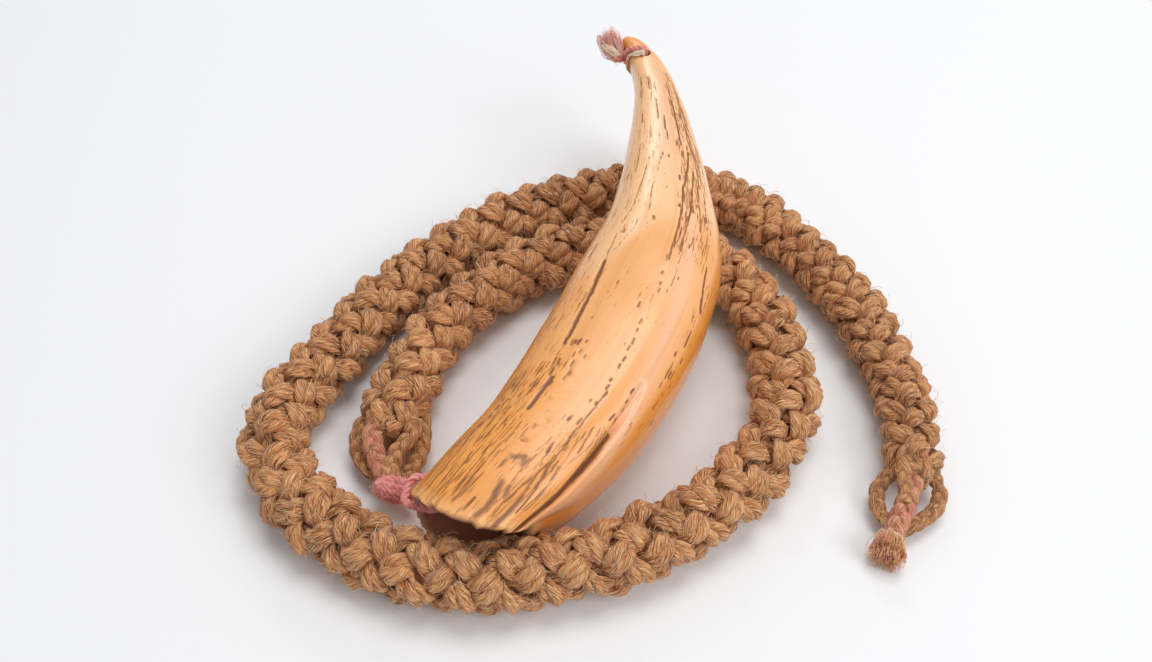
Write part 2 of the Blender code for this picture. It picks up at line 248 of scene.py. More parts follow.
def round_plait(line, thick):
    """The eight leads of the plait along a line."""
    onward = frames_along(line)[0]
    reach_out = np.arange(1, 1 + int(END_TAPER / STEP)) * STEP
    first = line[0] - onward[0] * reach_out[::-1, None]
    last = line[-1] + onward[-1] * reach_out[:, None]
    whole = np.concatenate((first, line, last))
    full = np.concatenate((np.full(len(first), thick[0]), thick, np.full(len(last), thick[-1])))
    gone = np.arange(len(whole)) * STEP
    near_end = np.minimum(gone, gone[-1] - gone) / CLOSING_LENGTH
    closing = CLOSED_SIZE + (1 - CLOSED_SIZE) * np.sin(pi / 2 * np.clip(near_end, 0, 1))
    onward, side, up = frames_along(whole)
    leads = []
    for way in (1, -1):
        for k in range(4):
            turn = way * tau * gone / PITCH + pi / 2 * k + wandering(len(gone), 60, UNEVEN_TURN)
            over = way * np.cos(4 * tau * gone / PITCH)
            over = np.tanh(OVER_SHARPNESS * over) / np.tanh(OVER_SHARPNESS)
            out = np.cos(turn)[:, None] * side + np.sin(turn)[:, None] * up
            reach = LEAD_REACH + WEAVE_DEPTH * over + wandering(len(gone), 110, UNEVEN_REACH)
            spots = whole + out * (reach * full * closing)[:, None]
            swell = full * (1 + wandering(len(gone), 90, UNEVEN_SIZE)) * (0.75 + 0.25 * closing)
            leads.append(lead_line(spots, out, swell, over, loose_hand.random()))
    return leads


leads = round_plait(route[:, :3], route[:, 3])
print(len(leads), "leads of", round(float(leads[0]["along"][-1]), 3), "m")

# %% [markdown]
# ## A node tree that plaits or twists strands round a line
#
# The leads, the loops at the cord's ends and the wool ties are all small strands that go round
# a line, so one Geometry Nodes tree makes them all. It copies each line once for each strand,
# swings the copies sideways and in and out, each a share of a turn behind the last, and sweeps
# a lobed section along them. Swinging in and out twice as often as sideways gives a flat plait
# of three, and just as often gives a twist.

# %% Trees that start and end alike
def new_tree(name, numbers):
    """A Geometry Nodes tree with a geometry in and out, named numbers and a material."""
    tree = bpy.data.node_groups.new(name, "GeometryNodeTree")
    tree.interface.new_socket("Given", in_out="INPUT", socket_type="NodeSocketGeometry")
    tree.interface.new_socket("Made", in_out="OUTPUT", socket_type="NodeSocketGeometry")
    for label, value in numbers.items():
        kind = "NodeSocketInt" if isinstance(value, int) else "NodeSocketFloat"
        tree.interface.new_socket(label, in_out="INPUT", socket_type=kind).default_value = value
    tree.interface.new_socket("Finish", in_out="INPUT", socket_type="NodeSocketMaterial")
    return tree, add(tree, "NodeGroupInput").outputs


def end_tree(tree, shape, finish):
    """The last steps: instances become real geometry, which gets its material."""
    real = add(tree, "GeometryNodeRealizeInstances", {0: shape})
    done = add(tree, "GeometryNodeSetMaterial", {"Geometry": real, "Material": finish})
    add(tree, "NodeGroupOutput", {0: done})
    return tree


# %% The strand tree
def strand_tree():
    """The tree that plaits or twists strands round lines."""
    tree, given = new_tree("strands_round_a_line", {
        "Count": 3, "Sideways": 0.0021, "In and out": 0.0009, "Rate in and out": 2.0,
        "Start in and out": 0.0, "Period": 0.014, "Strand width": 0.0032,
        "Strand thickness": 0.0022, "Lobe": 0.10, "Sides": 12})
    attribute = "GeometryNodeInputNamedAttribute"
    along = add(tree, attribute, {"Name": "along"})
    size = add(tree, attribute, {"Name": "size"})
    outward = add(tree, attribute, {"Name": "outward"}, data_type="FLOAT_VECTOR")
    curves = add(tree, "GeometryNodeMeshToCurve", {"Mesh": given["Given"]})
    copies = add(tree, "GeometryNodeDuplicateElements",
                 {"Geometry": curves, "Amount": given["Count"]}, domain="SPLINE")

    # Each copy swings a share of a turn behind the last
    index = copies.outputs["Duplicate Index"]
    share = add(tree, MATH, {0: index, 1: given["Count"]}, operation="DIVIDE")
    turns = add(tree, MATH, {0: along, 1: given["Period"]}, operation="DIVIDE")
    turns = add(tree, MATH, {0: turns, 1: share}, operation="ADD")
    angle = add(tree, MATH, {0: turns, 1: tau}, operation="MULTIPLY")
    inner = add(tree, MATH, {0: angle, 1: given["Rate in and out"], 2: given["Start in and out"]},
                operation="MULTIPLY_ADD")
    swings = []
    for phase, reach in ((angle, given["Sideways"]), (inner, given["In and out"])):
        wave = add(tree, MATH, {0: phase}, operation="SINE")
        wave = add(tree, MATH, {0: wave, 1: reach}, operation="MULTIPLY")
        swings.append(add(tree, MATH, {0: wave, 1: size}, operation="MULTIPLY"))
    onward = add(tree, "GeometryNodeInputTangent")
    side = add(tree, VECTOR, {0: onward, 1: outward}, operation="CROSS_PRODUCT")
    side = add(tree, VECTOR, {0: side, "Scale": swings[0]}, operation="SCALE")
    lift = add(tree, VECTOR, {0: outward, "Scale": swings[1]}, operation="SCALE")
    shift = add(tree, VECTOR, {0: side, 1: lift}, operation="ADD")
    moved = add(tree, "GeometryNodeSetPosition", {"Geometry": copies, "Offset": shift})
    turned = add(tree, "GeometryNodeSetCurveNormal", {"Curve": moved, "Normal": outward}, mode="FREE")
    marked = add(tree, "GeometryNodeStoreNamedAttribute",
                 {"Geometry": turned, "Name": "strand", "Value": share})

    # The section is a flattened ring with four low lobes
    ring = add(tree, "GeometryNodeCurvePrimitiveCircle", {"Resolution": given["Sides"], "Radius": 1.0})
    place = add(tree, "GeometryNodeInputPosition")
    xyz = add(tree, "ShaderNodeSeparateXYZ", {0: place}).outputs
    around = add(tree, MATH, {0: xyz[1], 1: xyz[0]}, operation="ARCTAN2")
    lobes = add(tree, MATH, {0: around, 1: 4.0}, operation="MULTIPLY")
    lobes = add(tree, MATH, {0: lobes}, operation="COSINE")
    bulge = add(tree, MATH, {0: lobes, 1: given["Lobe"], 2: 0.95}, operation="MULTIPLY_ADD")
    across = []
    for axis, size_name in ((0, "Strand thickness"), (1, "Strand width")):
        half = add(tree, MATH, {0: given[size_name], 1: 0.5}, operation="MULTIPLY")
        half = add(tree, MATH, {0: half, 1: bulge}, operation="MULTIPLY")
        across.append(add(tree, MATH, {0: xyz[axis], 1: half}, operation="MULTIPLY"))
    flattened = add(tree, "ShaderNodeCombineXYZ", {0: across[0], 1: across[1]})
    section = add(tree, "GeometryNodeStoreNamedAttribute",
                  {"Geometry": ring, "Name": "round", "Value": place}, data_type="FLOAT_VECTOR")
    section = add(tree, "GeometryNodeSetPosition", {"Geometry": section, "Position": flattened})
    swept = add(tree, "GeometryNodeCurveToMesh",
                {"Curve": marked, "Profile Curve": section, "Scale": size, "Fill Caps": True})
    return end_tree(tree, swept, given["Finish"])


STRANDS = strand_tree()


def line_mesh(name, lines):
    """Lines as a mesh of edges, with what the node tree reads as attributes of its points."""
    mesh = bpy.data.meshes.new(name)
    spots = np.concatenate([line["at"] for line in lines])
    ends = np.cumsum([len(line["at"]) for line in lines])
    edges = [(i, i + 1) for i in range(len(spots) - 1) if i + 1 not in set(ends.tolist())]
    mesh.from_pydata(spots.tolist(), edges, [])
    outward = np.concatenate([line["outward"] for line in lines])
    mesh.attributes.new("outward", "FLOAT_VECTOR", "POINT").data.foreach_set("vector", outward.ravel())
    for key in ("size", "along", "lift", "shade"):
        values = np.concatenate([np.broadcast_to(line[key], len(line["at"])) for line in lines])
        mesh.attributes.new(key, "FLOAT", "POINT").data.foreach_set("value", values)
    return mesh


def grown(name, mesh, tree, values):
    """Runs a node tree on a mesh once, and keeps what comes out as a plain mesh object."""
    made = bpy.data.objects.new(name, mesh)
    SCENE.collection.objects.link(made)
    step = made.modifiers.new(tree.name, "NODES")
    step.node_group = tree
    for item in tree.interface.items_tree:
        if item.item_type == "SOCKET" and item.in_out == "INPUT" and item.name in values:
            step[item.identifier] = values[item.name]
    graph = bpy.context.evaluated_depsgraph_get()
    result = bpy.data.meshes.new_from_object(
        made.evaluated_get(graph), preserve_all_data_layers=True, depsgraph=graph)
    made.modifiers.clear()
    made.data = result
    result.name = name
    result.shade_smooth()
    result.calc_loop_triangles()
    print(name, len(result.loop_triangles), "triangles")
    return made


# %% [markdown]
# ## Coconut fibre
#
# Coir is the coarse brown fibre of the coconut's husk, about a quarter of a millimetre thick,
# rolled into bundles by hand. It is dull, with a faint sheen along each fibre. The fibres run
# along the bundle with a slow twist, so the pattern is noise stretched along the strand. The
# colours differ from fibre to fibre, from bundle to bundle, and slowly along the cord.

# %% Coconut fibre material
ROLL_LENGTH = 0.022
FIBRE_STRETCH = 0.011


def coconut_fibre(name, dark, middle, light, bright, tinge, tinge_share):
    """Rolled and plaited coconut fibre, with a share of it stained another colour."""
    made, tree, shader = new_material(name)
    given = {key: add(tree, "ShaderNodeAttribute", attribute_name=key).outputs
             for key in ("round", "along", "shade", "strand", "lift")}
    gone, shade = given["along"]["Fac"], given["shade"]["Fac"]

    # Noise drawn out along the strand and turned with its roll gives separate fibres
    twist = add(tree, MATH, {0: gone, 1: tau / ROLL_LENGTH}, operation="MULTIPLY")
    rolled = add(tree, "ShaderNodeVectorRotate",
                 {"Vector": given["round"]["Vector"], "Angle": twist}, rotation_type="Z_AXIS")
    own = add(tree, MATH, {0: given["strand"]["Fac"], 1: 9.0}, operation="MULTIPLY")
    own = add(tree, MATH, {0: shade, 1: 40.0, 2: own}, operation="MULTIPLY_ADD")
    down = add(tree, MATH, {0: gone, 1: 1 / FIBRE_STRETCH, 2: own}, operation="MULTIPLY_ADD")
    lengthways = add(tree, "ShaderNodeCombineXYZ", {2: down})
    place = add(tree, VECTOR, {0: rolled, 1: (1.5, 1.5, 0.0), 2: lengthways}, operation="MULTIPLY_ADD")
    fibres = add(tree, NOISE, {"Vector": place, "Scale": 3.0, "Detail": 1.5, "Roughness": 0.6})
    crossing = add(tree, NOISE, {"Vector": place, "Scale": 5.3, "Detail": 1.0})

    # Brown between the fibres, lighter on them and on whole bundles, and painted shade: darker where a
    # lead dips under its neighbours, lighter where it rides over
    coords = add(tree, "ShaderNodeTexCoord").outputs["Object"]
    slow = add(tree, NOISE, {"Vector": coords, "Scale": 90.0, "Detail": 2.0})
    mix = add(tree, "ShaderNodeMapRange", {0: fibres, 1: 0.34, 2: 0.66})
    mix = add(tree, MATH, {0: mix, 1: 0.62}, operation="MULTIPLY")
    for part, share in ((slow, 0.50), (shade, 0.12), (given["lift"]["Fac"], 0.07)):
        mix = add(tree, MATH, {0: part, 1: share, 2: mix}, operation="MULTIPLY_ADD")
    mix = add(tree, MATH, {0: mix, 1: 0.08}, operation="SUBTRACT")
    ramp = add(tree, "ShaderNodeValToRGB", {0: mix})
    stops = ramp.color_ramp.elements
    stops[0].position, stops[0].color = 0.28, hex_linear(dark)
    stops[1].position, stops[1].color = 0.86, hex_linear(light)
    stops.new(0.50).color = hex_linear(middle)

    # Stained patches about 4 mm wide, then single bright golden fibres, partly pale fibres and partly
    # painted glints of light
    patches = add(tree, NOISE, {"Vector": coords, "Scale": 260.0})
    stained = add(tree, "ShaderNodeMapRange", {
        0: patches, 1: 0.58 - 0.22 * tinge_share, 2: 0.74 - 0.22 * tinge_share, 3: 0.0, 4: tinge_share})
    tinted = add(tree, "ShaderNodeMix", {0: stained, 6: ramp, 7: hex_linear(tinge)}, data_type="RGBA")
    gold = add(tree, "ShaderNodeMapRange", {0: crossing, 1: 0.55, 2: 0.62, 3: 0.0, 4: 0.80})
    final = add(tree, "ShaderNodeMix", {0: gold, 6: tinted.outputs[2], 7: hex_linear(bright)},
                data_type="RGBA")
    height = add(tree, MATH, {0: crossing, 1: 0.6, 2: fibres}, operation="MULTIPLY_ADD")
    bump = add(tree, "ShaderNodeBump", {"Strength": 1.0, "Distance": 0.0006, "Height": height})
    feed(shader, {"Base Color": final.outputs[2], "Normal": bump, "Roughness": 0.62, "IOR": 1.5,
                  "Specular IOR Level": 0.35, "Sheen Weight": 0.12, "Sheen Roughness": 0.5})
    return made


coir = coconut_fibre("plaited_coconut_fibre", "#6C3A1C", "#BC7440", "#E2A268", "#FAD29C",
                     "#C08464", 0.40)
pink_coir = coconut_fibre("pink_stained_coconut_fibre", "#8A4832", "#CA825C", "#E8A680", "#FACAA2",
                          "#D8806C", 0.60)

# %% [markdown]
# ## The plait as mesh
#
# The tree makes three bundles round every lead. The eight leads are kept as four pieces of two
# leads each, one of each way of winding, so that no mesh grows too big.

# %% The eight leads
BUNDLES_IN_LEAD = 3
ROPE_STRANDS = {"Count": BUNDLES_IN_LEAD, "Sideways": 0.0019, "In and out": 0.0012,
                "Rate in and out": 1.0, "Start in and out": pi / 2, "Period": 0.0190,
                "Strand width": 0.0036, "Strand thickness": 0.0030, "Finish": coir}
rope_pieces = []
for k in range(4):
    pair = [leads[k], leads[k + 4]]
    name = f"coir_leads_{k + 1}"
    rope_pieces.append(grown(name, line_mesh(name, pair), STRANDS, ROPE_STRANDS))

# %% [markdown]
# ## The strands at the cord's two ends
#
# Past each end of the plait a few thin braids of three hang out as loops. The middle one is
# stained pink from the wool, and at the loose end it ends in a frayed tuft. Each follows a few
# given places on the table and goes through the same strand tree as the leads.

# %% Loops at both ends
NEAR_LEFT = (
    (-0.0400, 0.0290, 0.0090), (-0.0425, 0.0235, 0.0075), (-0.0415, 0.0180, 0.0062),
    (-0.0380, 0.0135, 0.0056), (-0.0318, 0.0098, 0.0062),
)
NEAR_MIDDLE = (
    (-0.0350, 0.0275, 0.0150), (-0.0372, 0.0215, 0.0120), (-0.0360, 0.0165, 0.0108),
    (-0.0330, 0.0125, 0.0090), (-0.0300, 0.0095, 0.0080),
)
NEAR_RIGHT = (
    (-0.0265, 0.0290, 0.0090), (-0.0242, 0.0225, 0.0080), (-0.0240, 0.0170, 0.0066),
    (-0.0252, 0.0125, 0.0056), (-0.0275, 0.0098, 0.0062),
)
NEAR_CROSS = (
    (-0.0290, 0.0265, 0.0150), (-0.0262, 0.0215, 0.0125), (-0.0285, 0.0165, 0.0110),
    (-0.0290, 0.0120, 0.0090), (-0.0280, 0.0085, 0.0085),
)
FAR_LEFT = (
    (0.1030, 0.0520, 0.0090), (0.1012, 0.0450, 0.0072), (0.0986, 0.0402, 0.0050),
    (0.0996, 0.0340, 0.0040), (0.1036, 0.0290, 0.0046),
)
FAR_RIGHT = (
    (0.1105, 0.0520, 0.0090), (0.1130, 0.0458, 0.0072), (0.1148, 0.0430, 0.0052),
    (0.1138, 0.0375, 0.0042), (0.1078, 0.0306, 0.0044), (0.1046, 0.0288, 0.0042),
)
FAR_PLAIT = (
    (0.1072, 0.0520, 0.0125), (0.1072, 0.0455, 0.0104), (0.1062, 0.0370, 0.0080),
    (0.1036, 0.0265, 0.0050),
)
FAR_CROSS = (
    (0.1040, 0.0500, 0.0130), (0.1040, 0.0440, 0.0110), (0.1052, 0.0395, 0.0098),
    (0.1068, 0.0350, 0.0085),
)


def loop_line(points, size):
    """A line for a braid that lies level, with its flat side up."""
    line = evenly(smooth_line(on_floor(points), 60), 0.0007)
    up = frames_along(line)[2]
    return lead_line(line, up, np.full(len(line), size), np.ones(len(line)), loose_hand.random())


BRAID = {"Count": 3, "Sideways": 0.0013, "In and out": 0.0008, "Period": 0.011,
         "Strand width": 0.0026, "Strand thickness": 0.0021}


def loops(name, paths, size, finish):
    """Flat braids of three strands along the paths, as one piece."""
    lines = [loop_line(path, size) for path in paths]
    return grown(name, line_mesh(name, lines), STRANDS, {**BRAID, "Finish": finish})


near_loops = loops("near_end_loops", (NEAR_LEFT, NEAR_RIGHT, NEAR_CROSS), 1.0, coir)
near_pink = loops("near_end_pink_braid", (NEAR_MIDDLE,), 1.15, pink_coir)
far_loops = loops("far_end_loops", (FAR_LEFT, FAR_RIGHT, FAR_CROSS), 0.85, coir)
far_pink = loops("far_end_pink_braid", (FAR_PLAIT,), 1.15, pink_coir)

# %% [markdown]
# ## The tooth's form
#
# The tooth is a curved, tapering horn with a slightly square section, hollow at its root. Its
# outline, thickness and bend are a short table of stations, and a few rules add the furrow in
# the root, the hood of the rim and the round tip. The same rules made the solid in the CAD
# model, and here they are sampled about a hundred times as densely, so that grooves and
# scratches can be real relief.

# %% Rules of the tooth's surface
TOOTH_LENGTH = 0.180
ROOT_WALL = 0.0026
CAVITY_DEPTH = 0.072
RIM_TONGUE = 0.0058
RIM_HOOD = 0.0086
RIM_FADE = 0.12
RIM_LEAN = 0.70
FURROW_DEPTH = 0.0022
FURROW_WIDTH = 0.0030
FURROW_LENGTH = 0.040
FURROW_AT_RIM = 0.17 * pi
FURROW_AT_END = 0.27 * pi
FURROW_FADE = 0.35
TONGUE_FULLNESS = 1.0
ROUND_TIP_FROM = 0.94
CROWN_SQUARENESS = 2.7
BELLY_SQUARENESS = 2.6
REST_SHARE = 0.655
REST_FLAT_DEPTH = 0.0004
TIP_HOLE_SHARE = 0.936
TIP_HOLE_ACROSS = 0.031
TIP_BORE = 0.0042
CORNER_BORE = 0.0034
CORNER_BORE_INSET = 0.0062
TOOTH_FORM = (
    (0.00, -0.010, 0.089, 0.080),
    (0.05, 0.030, 0.105, 0.087),
    (0.15, 0.082, 0.112, 0.093),
    (0.30, 0.124, 0.117, 0.095),
    (0.45, 0.146, 0.111, 0.090),
    (0.53, 0.149, 0.098, 0.084),
    (0.60, 0.140, 0.084, 0.076),
    (0.72, 0.113, 0.064, 0.061),
    (0.84, 0.078, 0.044, 0.044),
    (0.93, 0.037, 0.032, 0.032),
    (1.00, -0.015, 0.019, 0.019),
)


def tooth_size(share, column):
    """The middle line's offset, or half the width or thickness, at a share of the length."""
    size = through(TOOTH_FORM, share, column) * TOOTH_LENGTH
    if column == 1:
        return size
    rest = np.clip((share - ROUND_TIP_FROM) / (1 - ROUND_TIP_FROM), 0, 1)
    return size * np.sqrt(1 - rest**2)


def furrow(share, angle):
    """How deep the furrow in the root is, which fades out along the tooth."""
    part = np.clip(share * TOOTH_LENGTH / FURROW_LENGTH, 0, 1)
    centre = FURROW_AT_RIM + (FURROW_AT_END - FURROW_AT_RIM) * part
    off = (angle - centre) * tooth_size(share, 2)
    fade = np.minimum(1.0, (1 - part) / FURROW_FADE)
    return FURROW_DEPTH * fade * np.exp(-((off / (FURROW_WIDTH / 2)) ** 2))


def powered(value, squareness):
    """A sine or cosine changed so that a ring becomes rounder or squarer."""
    return np.copysign(np.abs(value) ** (2.0 / squareness), value)


def skin(share, angle, inset=0.0, carved=True):
    """Places on the tooth's skin before it is laid down: across, along, and up."""
    share, angle = np.broadcast_arrays(np.asarray(share, float), np.asarray(angle, float))
    squareness = np.where(np.sin(angle) >= 0, CROWN_SQUARENESS, BELLY_SQUARENESS)
    cut = inset + (furrow(share, angle) if carved else 0.0)
    wide = np.maximum(tooth_size(share, 2) - cut, 1e-5)
    thick = np.maximum(tooth_size(share, 3) - cut, 1e-5)
    fade = np.maximum(0.0, 1 - share / RIM_FADE) ** 2
    hood = RIM_HOOD * np.maximum(0, np.sin(pi * np.clip(angle / pi, 0, 1) ** RIM_LEAN)) ** 1.2
    reach = np.where(angle > pi, RIM_TONGUE * np.abs(np.sin(angle)) ** TONGUE_FULLNESS, hood) * fade
    across = tooth_size(share, 1) + wide * powered(np.cos(angle), squareness)
    up = thick * powered(np.sin(angle), squareness)
    return np.stack((across, share * TOOTH_LENGTH - reach, up), axis=-1)


root_height = float(tooth_size(np.array(0.0), 3)) - REST_FLAT_DEPTH
neck_height = ROPE_DIAMETER + CLEARANCE * 2 + float(tooth_size(np.array(REST_SHARE), 3))
tilt = asin((neck_height - root_height) / (REST_SHARE * TOOTH_LENGTH))
root_height += RIM_TONGUE * sin(tilt)
LYING = Matrix.Translation((*ROOT_AT, root_height)) @ Matrix.Rotation(tilt, 4, "X")


def laid(points):
    """Places on the tooth, in the frame of the whole part."""
    turn = np.array(LYING.to_3x3())
    return np.asarray(points) @ turn.T + np.array(LYING.translation)


print("tilt", round(float(np.degrees(tilt)), 2), "degrees")

# %% [markdown]
# ## Marks on the tooth
#
# Oiling and handling have left dark grain lines, rows of small pits, brown blotches near the
# root and long narrow grooves. Each mark is a stroke: a few places on the skin, given as a
# share of the length from the root and a part of a half turn round the crown. Grooves and grain
# lines are given by their places, width in millimetres and darkness, and a groove also by its
# depth in millimetres. A pit is one place.

# %% Strokes
GROOVES = (
    (((0.411, 0.631), (0.386, 0.624), (0.346, 0.615), (0.309, 0.611), (0.283, 0.602),
      (0.247, 0.597)), 1.1, 1.0, 0.22),
    (((0.470, 0.640), (0.440, 0.636), (0.411, 0.631)), 0.5, 0.6, 0.10),
    (((0.247, 0.597), (0.232, 0.597), (0.193, 0.589)), 0.5, 0.6, 0.08),
    (((0.186, 0.560), (0.156, 0.562), (0.129, 0.559)), 1.1, 1.0, 0.20),
    (((0.110, 0.216), (0.098, 0.207), (0.084, 0.202)), 3.0, 0.9, 0.0),
    (((0.128, 0.236), (0.116, 0.222), (0.104, 0.212)), 2.4, 1.0, 0.0),
    (((0.088, 0.203), (0.076, 0.199), (0.064, 0.194)), 2.6, 1.0, 0.0),
    (((0.150, 0.268), (0.134, 0.246), (0.118, 0.226)), 1.3, 0.95, 0.0),
    (((0.066, 0.197), (0.048, 0.186), (0.030, 0.178), (0.003, 0.168)), 1.7, 0.9, 0.0),
    (((0.080, 0.232), (0.060, 0.222), (0.038, 0.204), (0.010, 0.186)), 0.8, 0.8, 0.0),
    (((0.177, 0.395), (0.137, 0.391), (0.110, 0.386), (0.085, 0.378), (0.067, 0.370)), 0.5, 0.75, 0.10),
    (((0.448, 0.224), (0.423, 0.212), (0.396, 0.188)), 0.8, 0.8, 0.15),
    (((0.391, 0.184), (0.371, 0.150)), 1.2, 0.9, 0.2),
    (((0.332, 0.163), (0.303, 0.159)), 0.8, 0.75, 0.12),
    (((0.269, 0.175), (0.242, 0.168)), 0.8, 0.6, 0.1),
)
GRAIN_LINES = (
    (((0.674, 0.506), (0.624, 0.528), (0.579, 0.548), (0.521, 0.539)), 0.4, 0.7),
    (((0.652, 0.588), (0.578, 0.622), (0.539, 0.628), (0.495, 0.648)), 0.4, 0.7),
    (((0.688, 0.678), (0.657, 0.671), (0.617, 0.680)), 0.4, 0.7),
    (((0.682, 0.350), (0.585, 0.430), (0.524, 0.437), (0.458, 0.439), (0.433, 0.433)), 0.7, 0.9),
    (((0.631, 0.342), (0.564, 0.381), (0.505, 0.401), (0.456, 0.402)), 0.6, 0.8),
    (((0.637, 0.297), (0.571, 0.331), (0.508, 0.315)), 0.5, 0.7),
    (((0.838, 0.691), (0.798, 0.717)), 0.4, 0.6),
    (((0.807, 0.531), (0.754, 0.524)), 0.5, 0.8),
    (((0.764, 0.499), (0.732, 0.495), (0.702, 0.490)), 0.5, 0.8),
    (((0.810, 0.417), (0.763, 0.411), (0.710, 0.408), (0.695, 0.404)), 0.6, 0.9),
    (((0.827, 0.313), (0.758, 0.299), (0.695, 0.224), (0.651, 0.202)), 0.5, 0.7),
    (((0.794, 0.330), (0.717, 0.333), (0.671, 0.297), (0.637, 0.297)), 0.5, 0.7),
    (((0.516, 0.795), (0.465, 0.795)), 0.4, 0.5),
    (((0.515, 0.575), (0.488, 0.571), (0.443, 0.602), (0.433, 0.619)), 0.4, 0.6),
    (((0.478, 0.397), (0.433, 0.388), (0.396, 0.382), (0.369, 0.390)), 0.4, 0.6),
    (((0.462, 0.439), (0.443, 0.442), (0.429, 0.442)), 0.5, 0.7),
    (((0.365, 0.435), (0.342, 0.430), (0.315, 0.411)), 0.35, 0.45),
    (((0.089, 0.728), (0.063, 0.704), (0.040, 0.71)), 0.5, 0.7),
    (((0.060, 0.626), (0.041, 0.619), (0.020, 0.611)), 0.5, 0.7),
    (((0.067, 0.371), (0.050, 0.353), (0.037, 0.337), (0.015, 0.301)), 0.6, 0.8),
    (((0.067, 0.333), (0.054, 0.311), (0.035, 0.290)), 0.5, 0.7),
    (((0.070, 0.373), (0.057, 0.386), (0.044, 0.395), (0.020, 0.402)), 0.6, 0.8),
    (((0.472, 0.831), (0.395, 0.80), (0.320, 0.789), (0.249, 0.765)), 0.5, 0.6),
)
PITS = (
    (0.747, 0.682), (0.611, 0.749), (0.476, 0.609), (0.614, 0.444), (0.549, 0.448), (0.526, 0.401),
    (0.538, 0.286), (0.661, 0.490), (0.512, 0.513), (0.577, 0.270), (0.539, 0.273), (0.406, 0.437),
    (0.386, 0.428), (0.371, 0.421), (0.338, 0.464), (0.308, 0.431), (0.292, 0.426), (0.273, 0.417),
    (0.259, 0.417), (0.239, 0.410), (0.226, 0.413), (0.202, 0.410), (0.189, 0.402), (0.177, 0.393),
    (0.250, 0.569), (0.252, 0.557), (0.253, 0.548), (0.255, 0.531), (0.236, 0.528), (0.215, 0.530),
    (0.229, 0.511), (0.197, 0.517), (0.215, 0.577), (0.195, 0.577), (0.162, 0.430), (0.160, 0.404),
    (0.126, 0.406), (0.149, 0.299), (0.197, 0.293), (0.179, 0.281), (0.167, 0.270), (0.127, 0.446),
    (0.283, 0.195), (0.283, 0.124), (0.253, 0.150), (0.242, 0.092), (0.170, 0.724), (0.144, 0.718),
    (0.129, 0.715), (0.113, 0.708), (0.099, 0.718), (0.087, 0.506), (0.080, 0.422),
)
BLOTCHES = (
    (((0.004, 0.450), (0.011, 0.440), (0.020, 0.450), (0.036, 0.473)), 2.2, 0.62),
    (((0.063, 0.499), (0.066, 0.470), (0.057, 0.459)), 2.0, 0.55),
    (((0.026, 0.426), (0.034, 0.439)), 1.6, 0.6),
    (((0.010, 0.540), (0.022, 0.530), (0.034, 0.545)), 1.5, 0.5),
    (((0.010, 0.620), (0.030, 0.615)), 1.4, 0.45),
    (((0.0, 0.335), (0.016, 0.345), (0.030, 0.360)), 1.8, 0.65),
)

# %% [markdown]
# Between those marks lie many finer ones: dense dark grain over the left of the root, long
# lines down the neck's convex side, short dashes near the tip and specks everywhere. Some are
# scattered as strokes, zone by zone. The hair lines among them are left to the material, and a
# zone only says how dense they are. The numbers of a zone are: how many strokes, from and to
# along the length, from and to round the crown, shortest and longest in millimetres, darkness,
# lean of the grain, and density of the hair lines. The faint row of scratches along the crown
# is drawn as plain short nicks, whose numbers end in width and darkness.

# %% Scattered grain
ZONES = (
    (70, 0.00, 0.21, 0.52, 0.80, 1.5, 5.0, 0.52, 0.00, 1.00),
    (24, 0.00, 0.13, 0.38, 0.55, 1.5, 6.0, 0.56, 0.30, 0.70),
    (44, 0.00, 0.12, 0.23, 0.42, 2.0, 8.0, 0.58, 0.90, 0.60),
    (40, 0.14, 0.56, 0.72, 0.86, 3.0, 9.0, 0.55, 0.00, 0.75),
    (20, 0.20, 0.50, 0.60, 0.72, 1.5, 6.0, 0.50, 0.00, 0.35),
    (44, 0.46, 0.90, 0.22, 0.44, 3.0, 12.0, 0.45, 0.00, 1.05),
    (12, 0.58, 0.90, 0.10, 0.26, 4.0, 12.0, 0.45, 0.00, 0.70),
    (26, 0.66, 0.88, 0.50, 0.76, 1.5, 5.0, 0.55, 0.00, 0.50),
    (18, 0.48, 0.70, 0.50, 0.80, 2.0, 8.0, 0.50, 0.00, 0.40),
    (46, 0.08, 0.46, 0.34, 0.62, 0.5, 1.6, 0.55, 0.05, 0.15),
    (40, 0.08, 0.46, 0.04, 0.20, 0.8, 3.0, 0.60, 0.20, 0.35),
)
SCRATCHES = (
    (34, 0.08, 0.49, 0.47, 0.53, 0.8, 2.2, 0.40, 0.30),
    (30, 0.33, 0.41, 0.16, 0.40, 1.5, 4.0, 0.38, 0.24),
)
SCATTERED_WIDTH = 0.42
CROWN_WIDTH = 0.060
grain_hand = np.random.default_rng(7)


def scattered(zone):
    """Strokes along the grain, at random places in one zone."""
    count, low, high, first, last, short, long, dark, lean, _ = zone
    made = []
    for _ in range(count):
        share = grain_hand.uniform(low, high)
        part = grain_hand.uniform(first, last)
        half = grain_hand.uniform(short, long) / 2000 / TOOTH_LENGTH
        slope = lean + grain_hand.normal(0, 0.03)
        bend = grain_hand.normal(0, 0.002)
        path = ((share - half, part - slope * half), (share, part + bend),
                (share + half, part + slope * half))
        width = SCATTERED_WIDTH * grain_hand.uniform(0.8, 1.4)
        made.append((path, width, dark * grain_hand.uniform(0.5, 1.3)))
    return made


def nicked(zone):
    """Short shallow nicks at random angles, in a row."""
    count, low, high, first, last, short, long, width, dark = zone
    made = []
    for share in np.linspace(low, high, count):
        part = grain_hand.uniform(first, last)
        half = grain_hand.uniform(short, long) / 2000
        turn = grain_hand.choice((0.2, 1.1, 1.5, 2.0, 2.8)) + grain_hand.normal(0, 0.25)
        along, across = half * np.cos(turn) / TOOTH_LENGTH, half * np.sin(turn) / CROWN_WIDTH
        path = ((share - along, part - across), (share + along, part + across))
        made.append((path, width, dark))
    return made


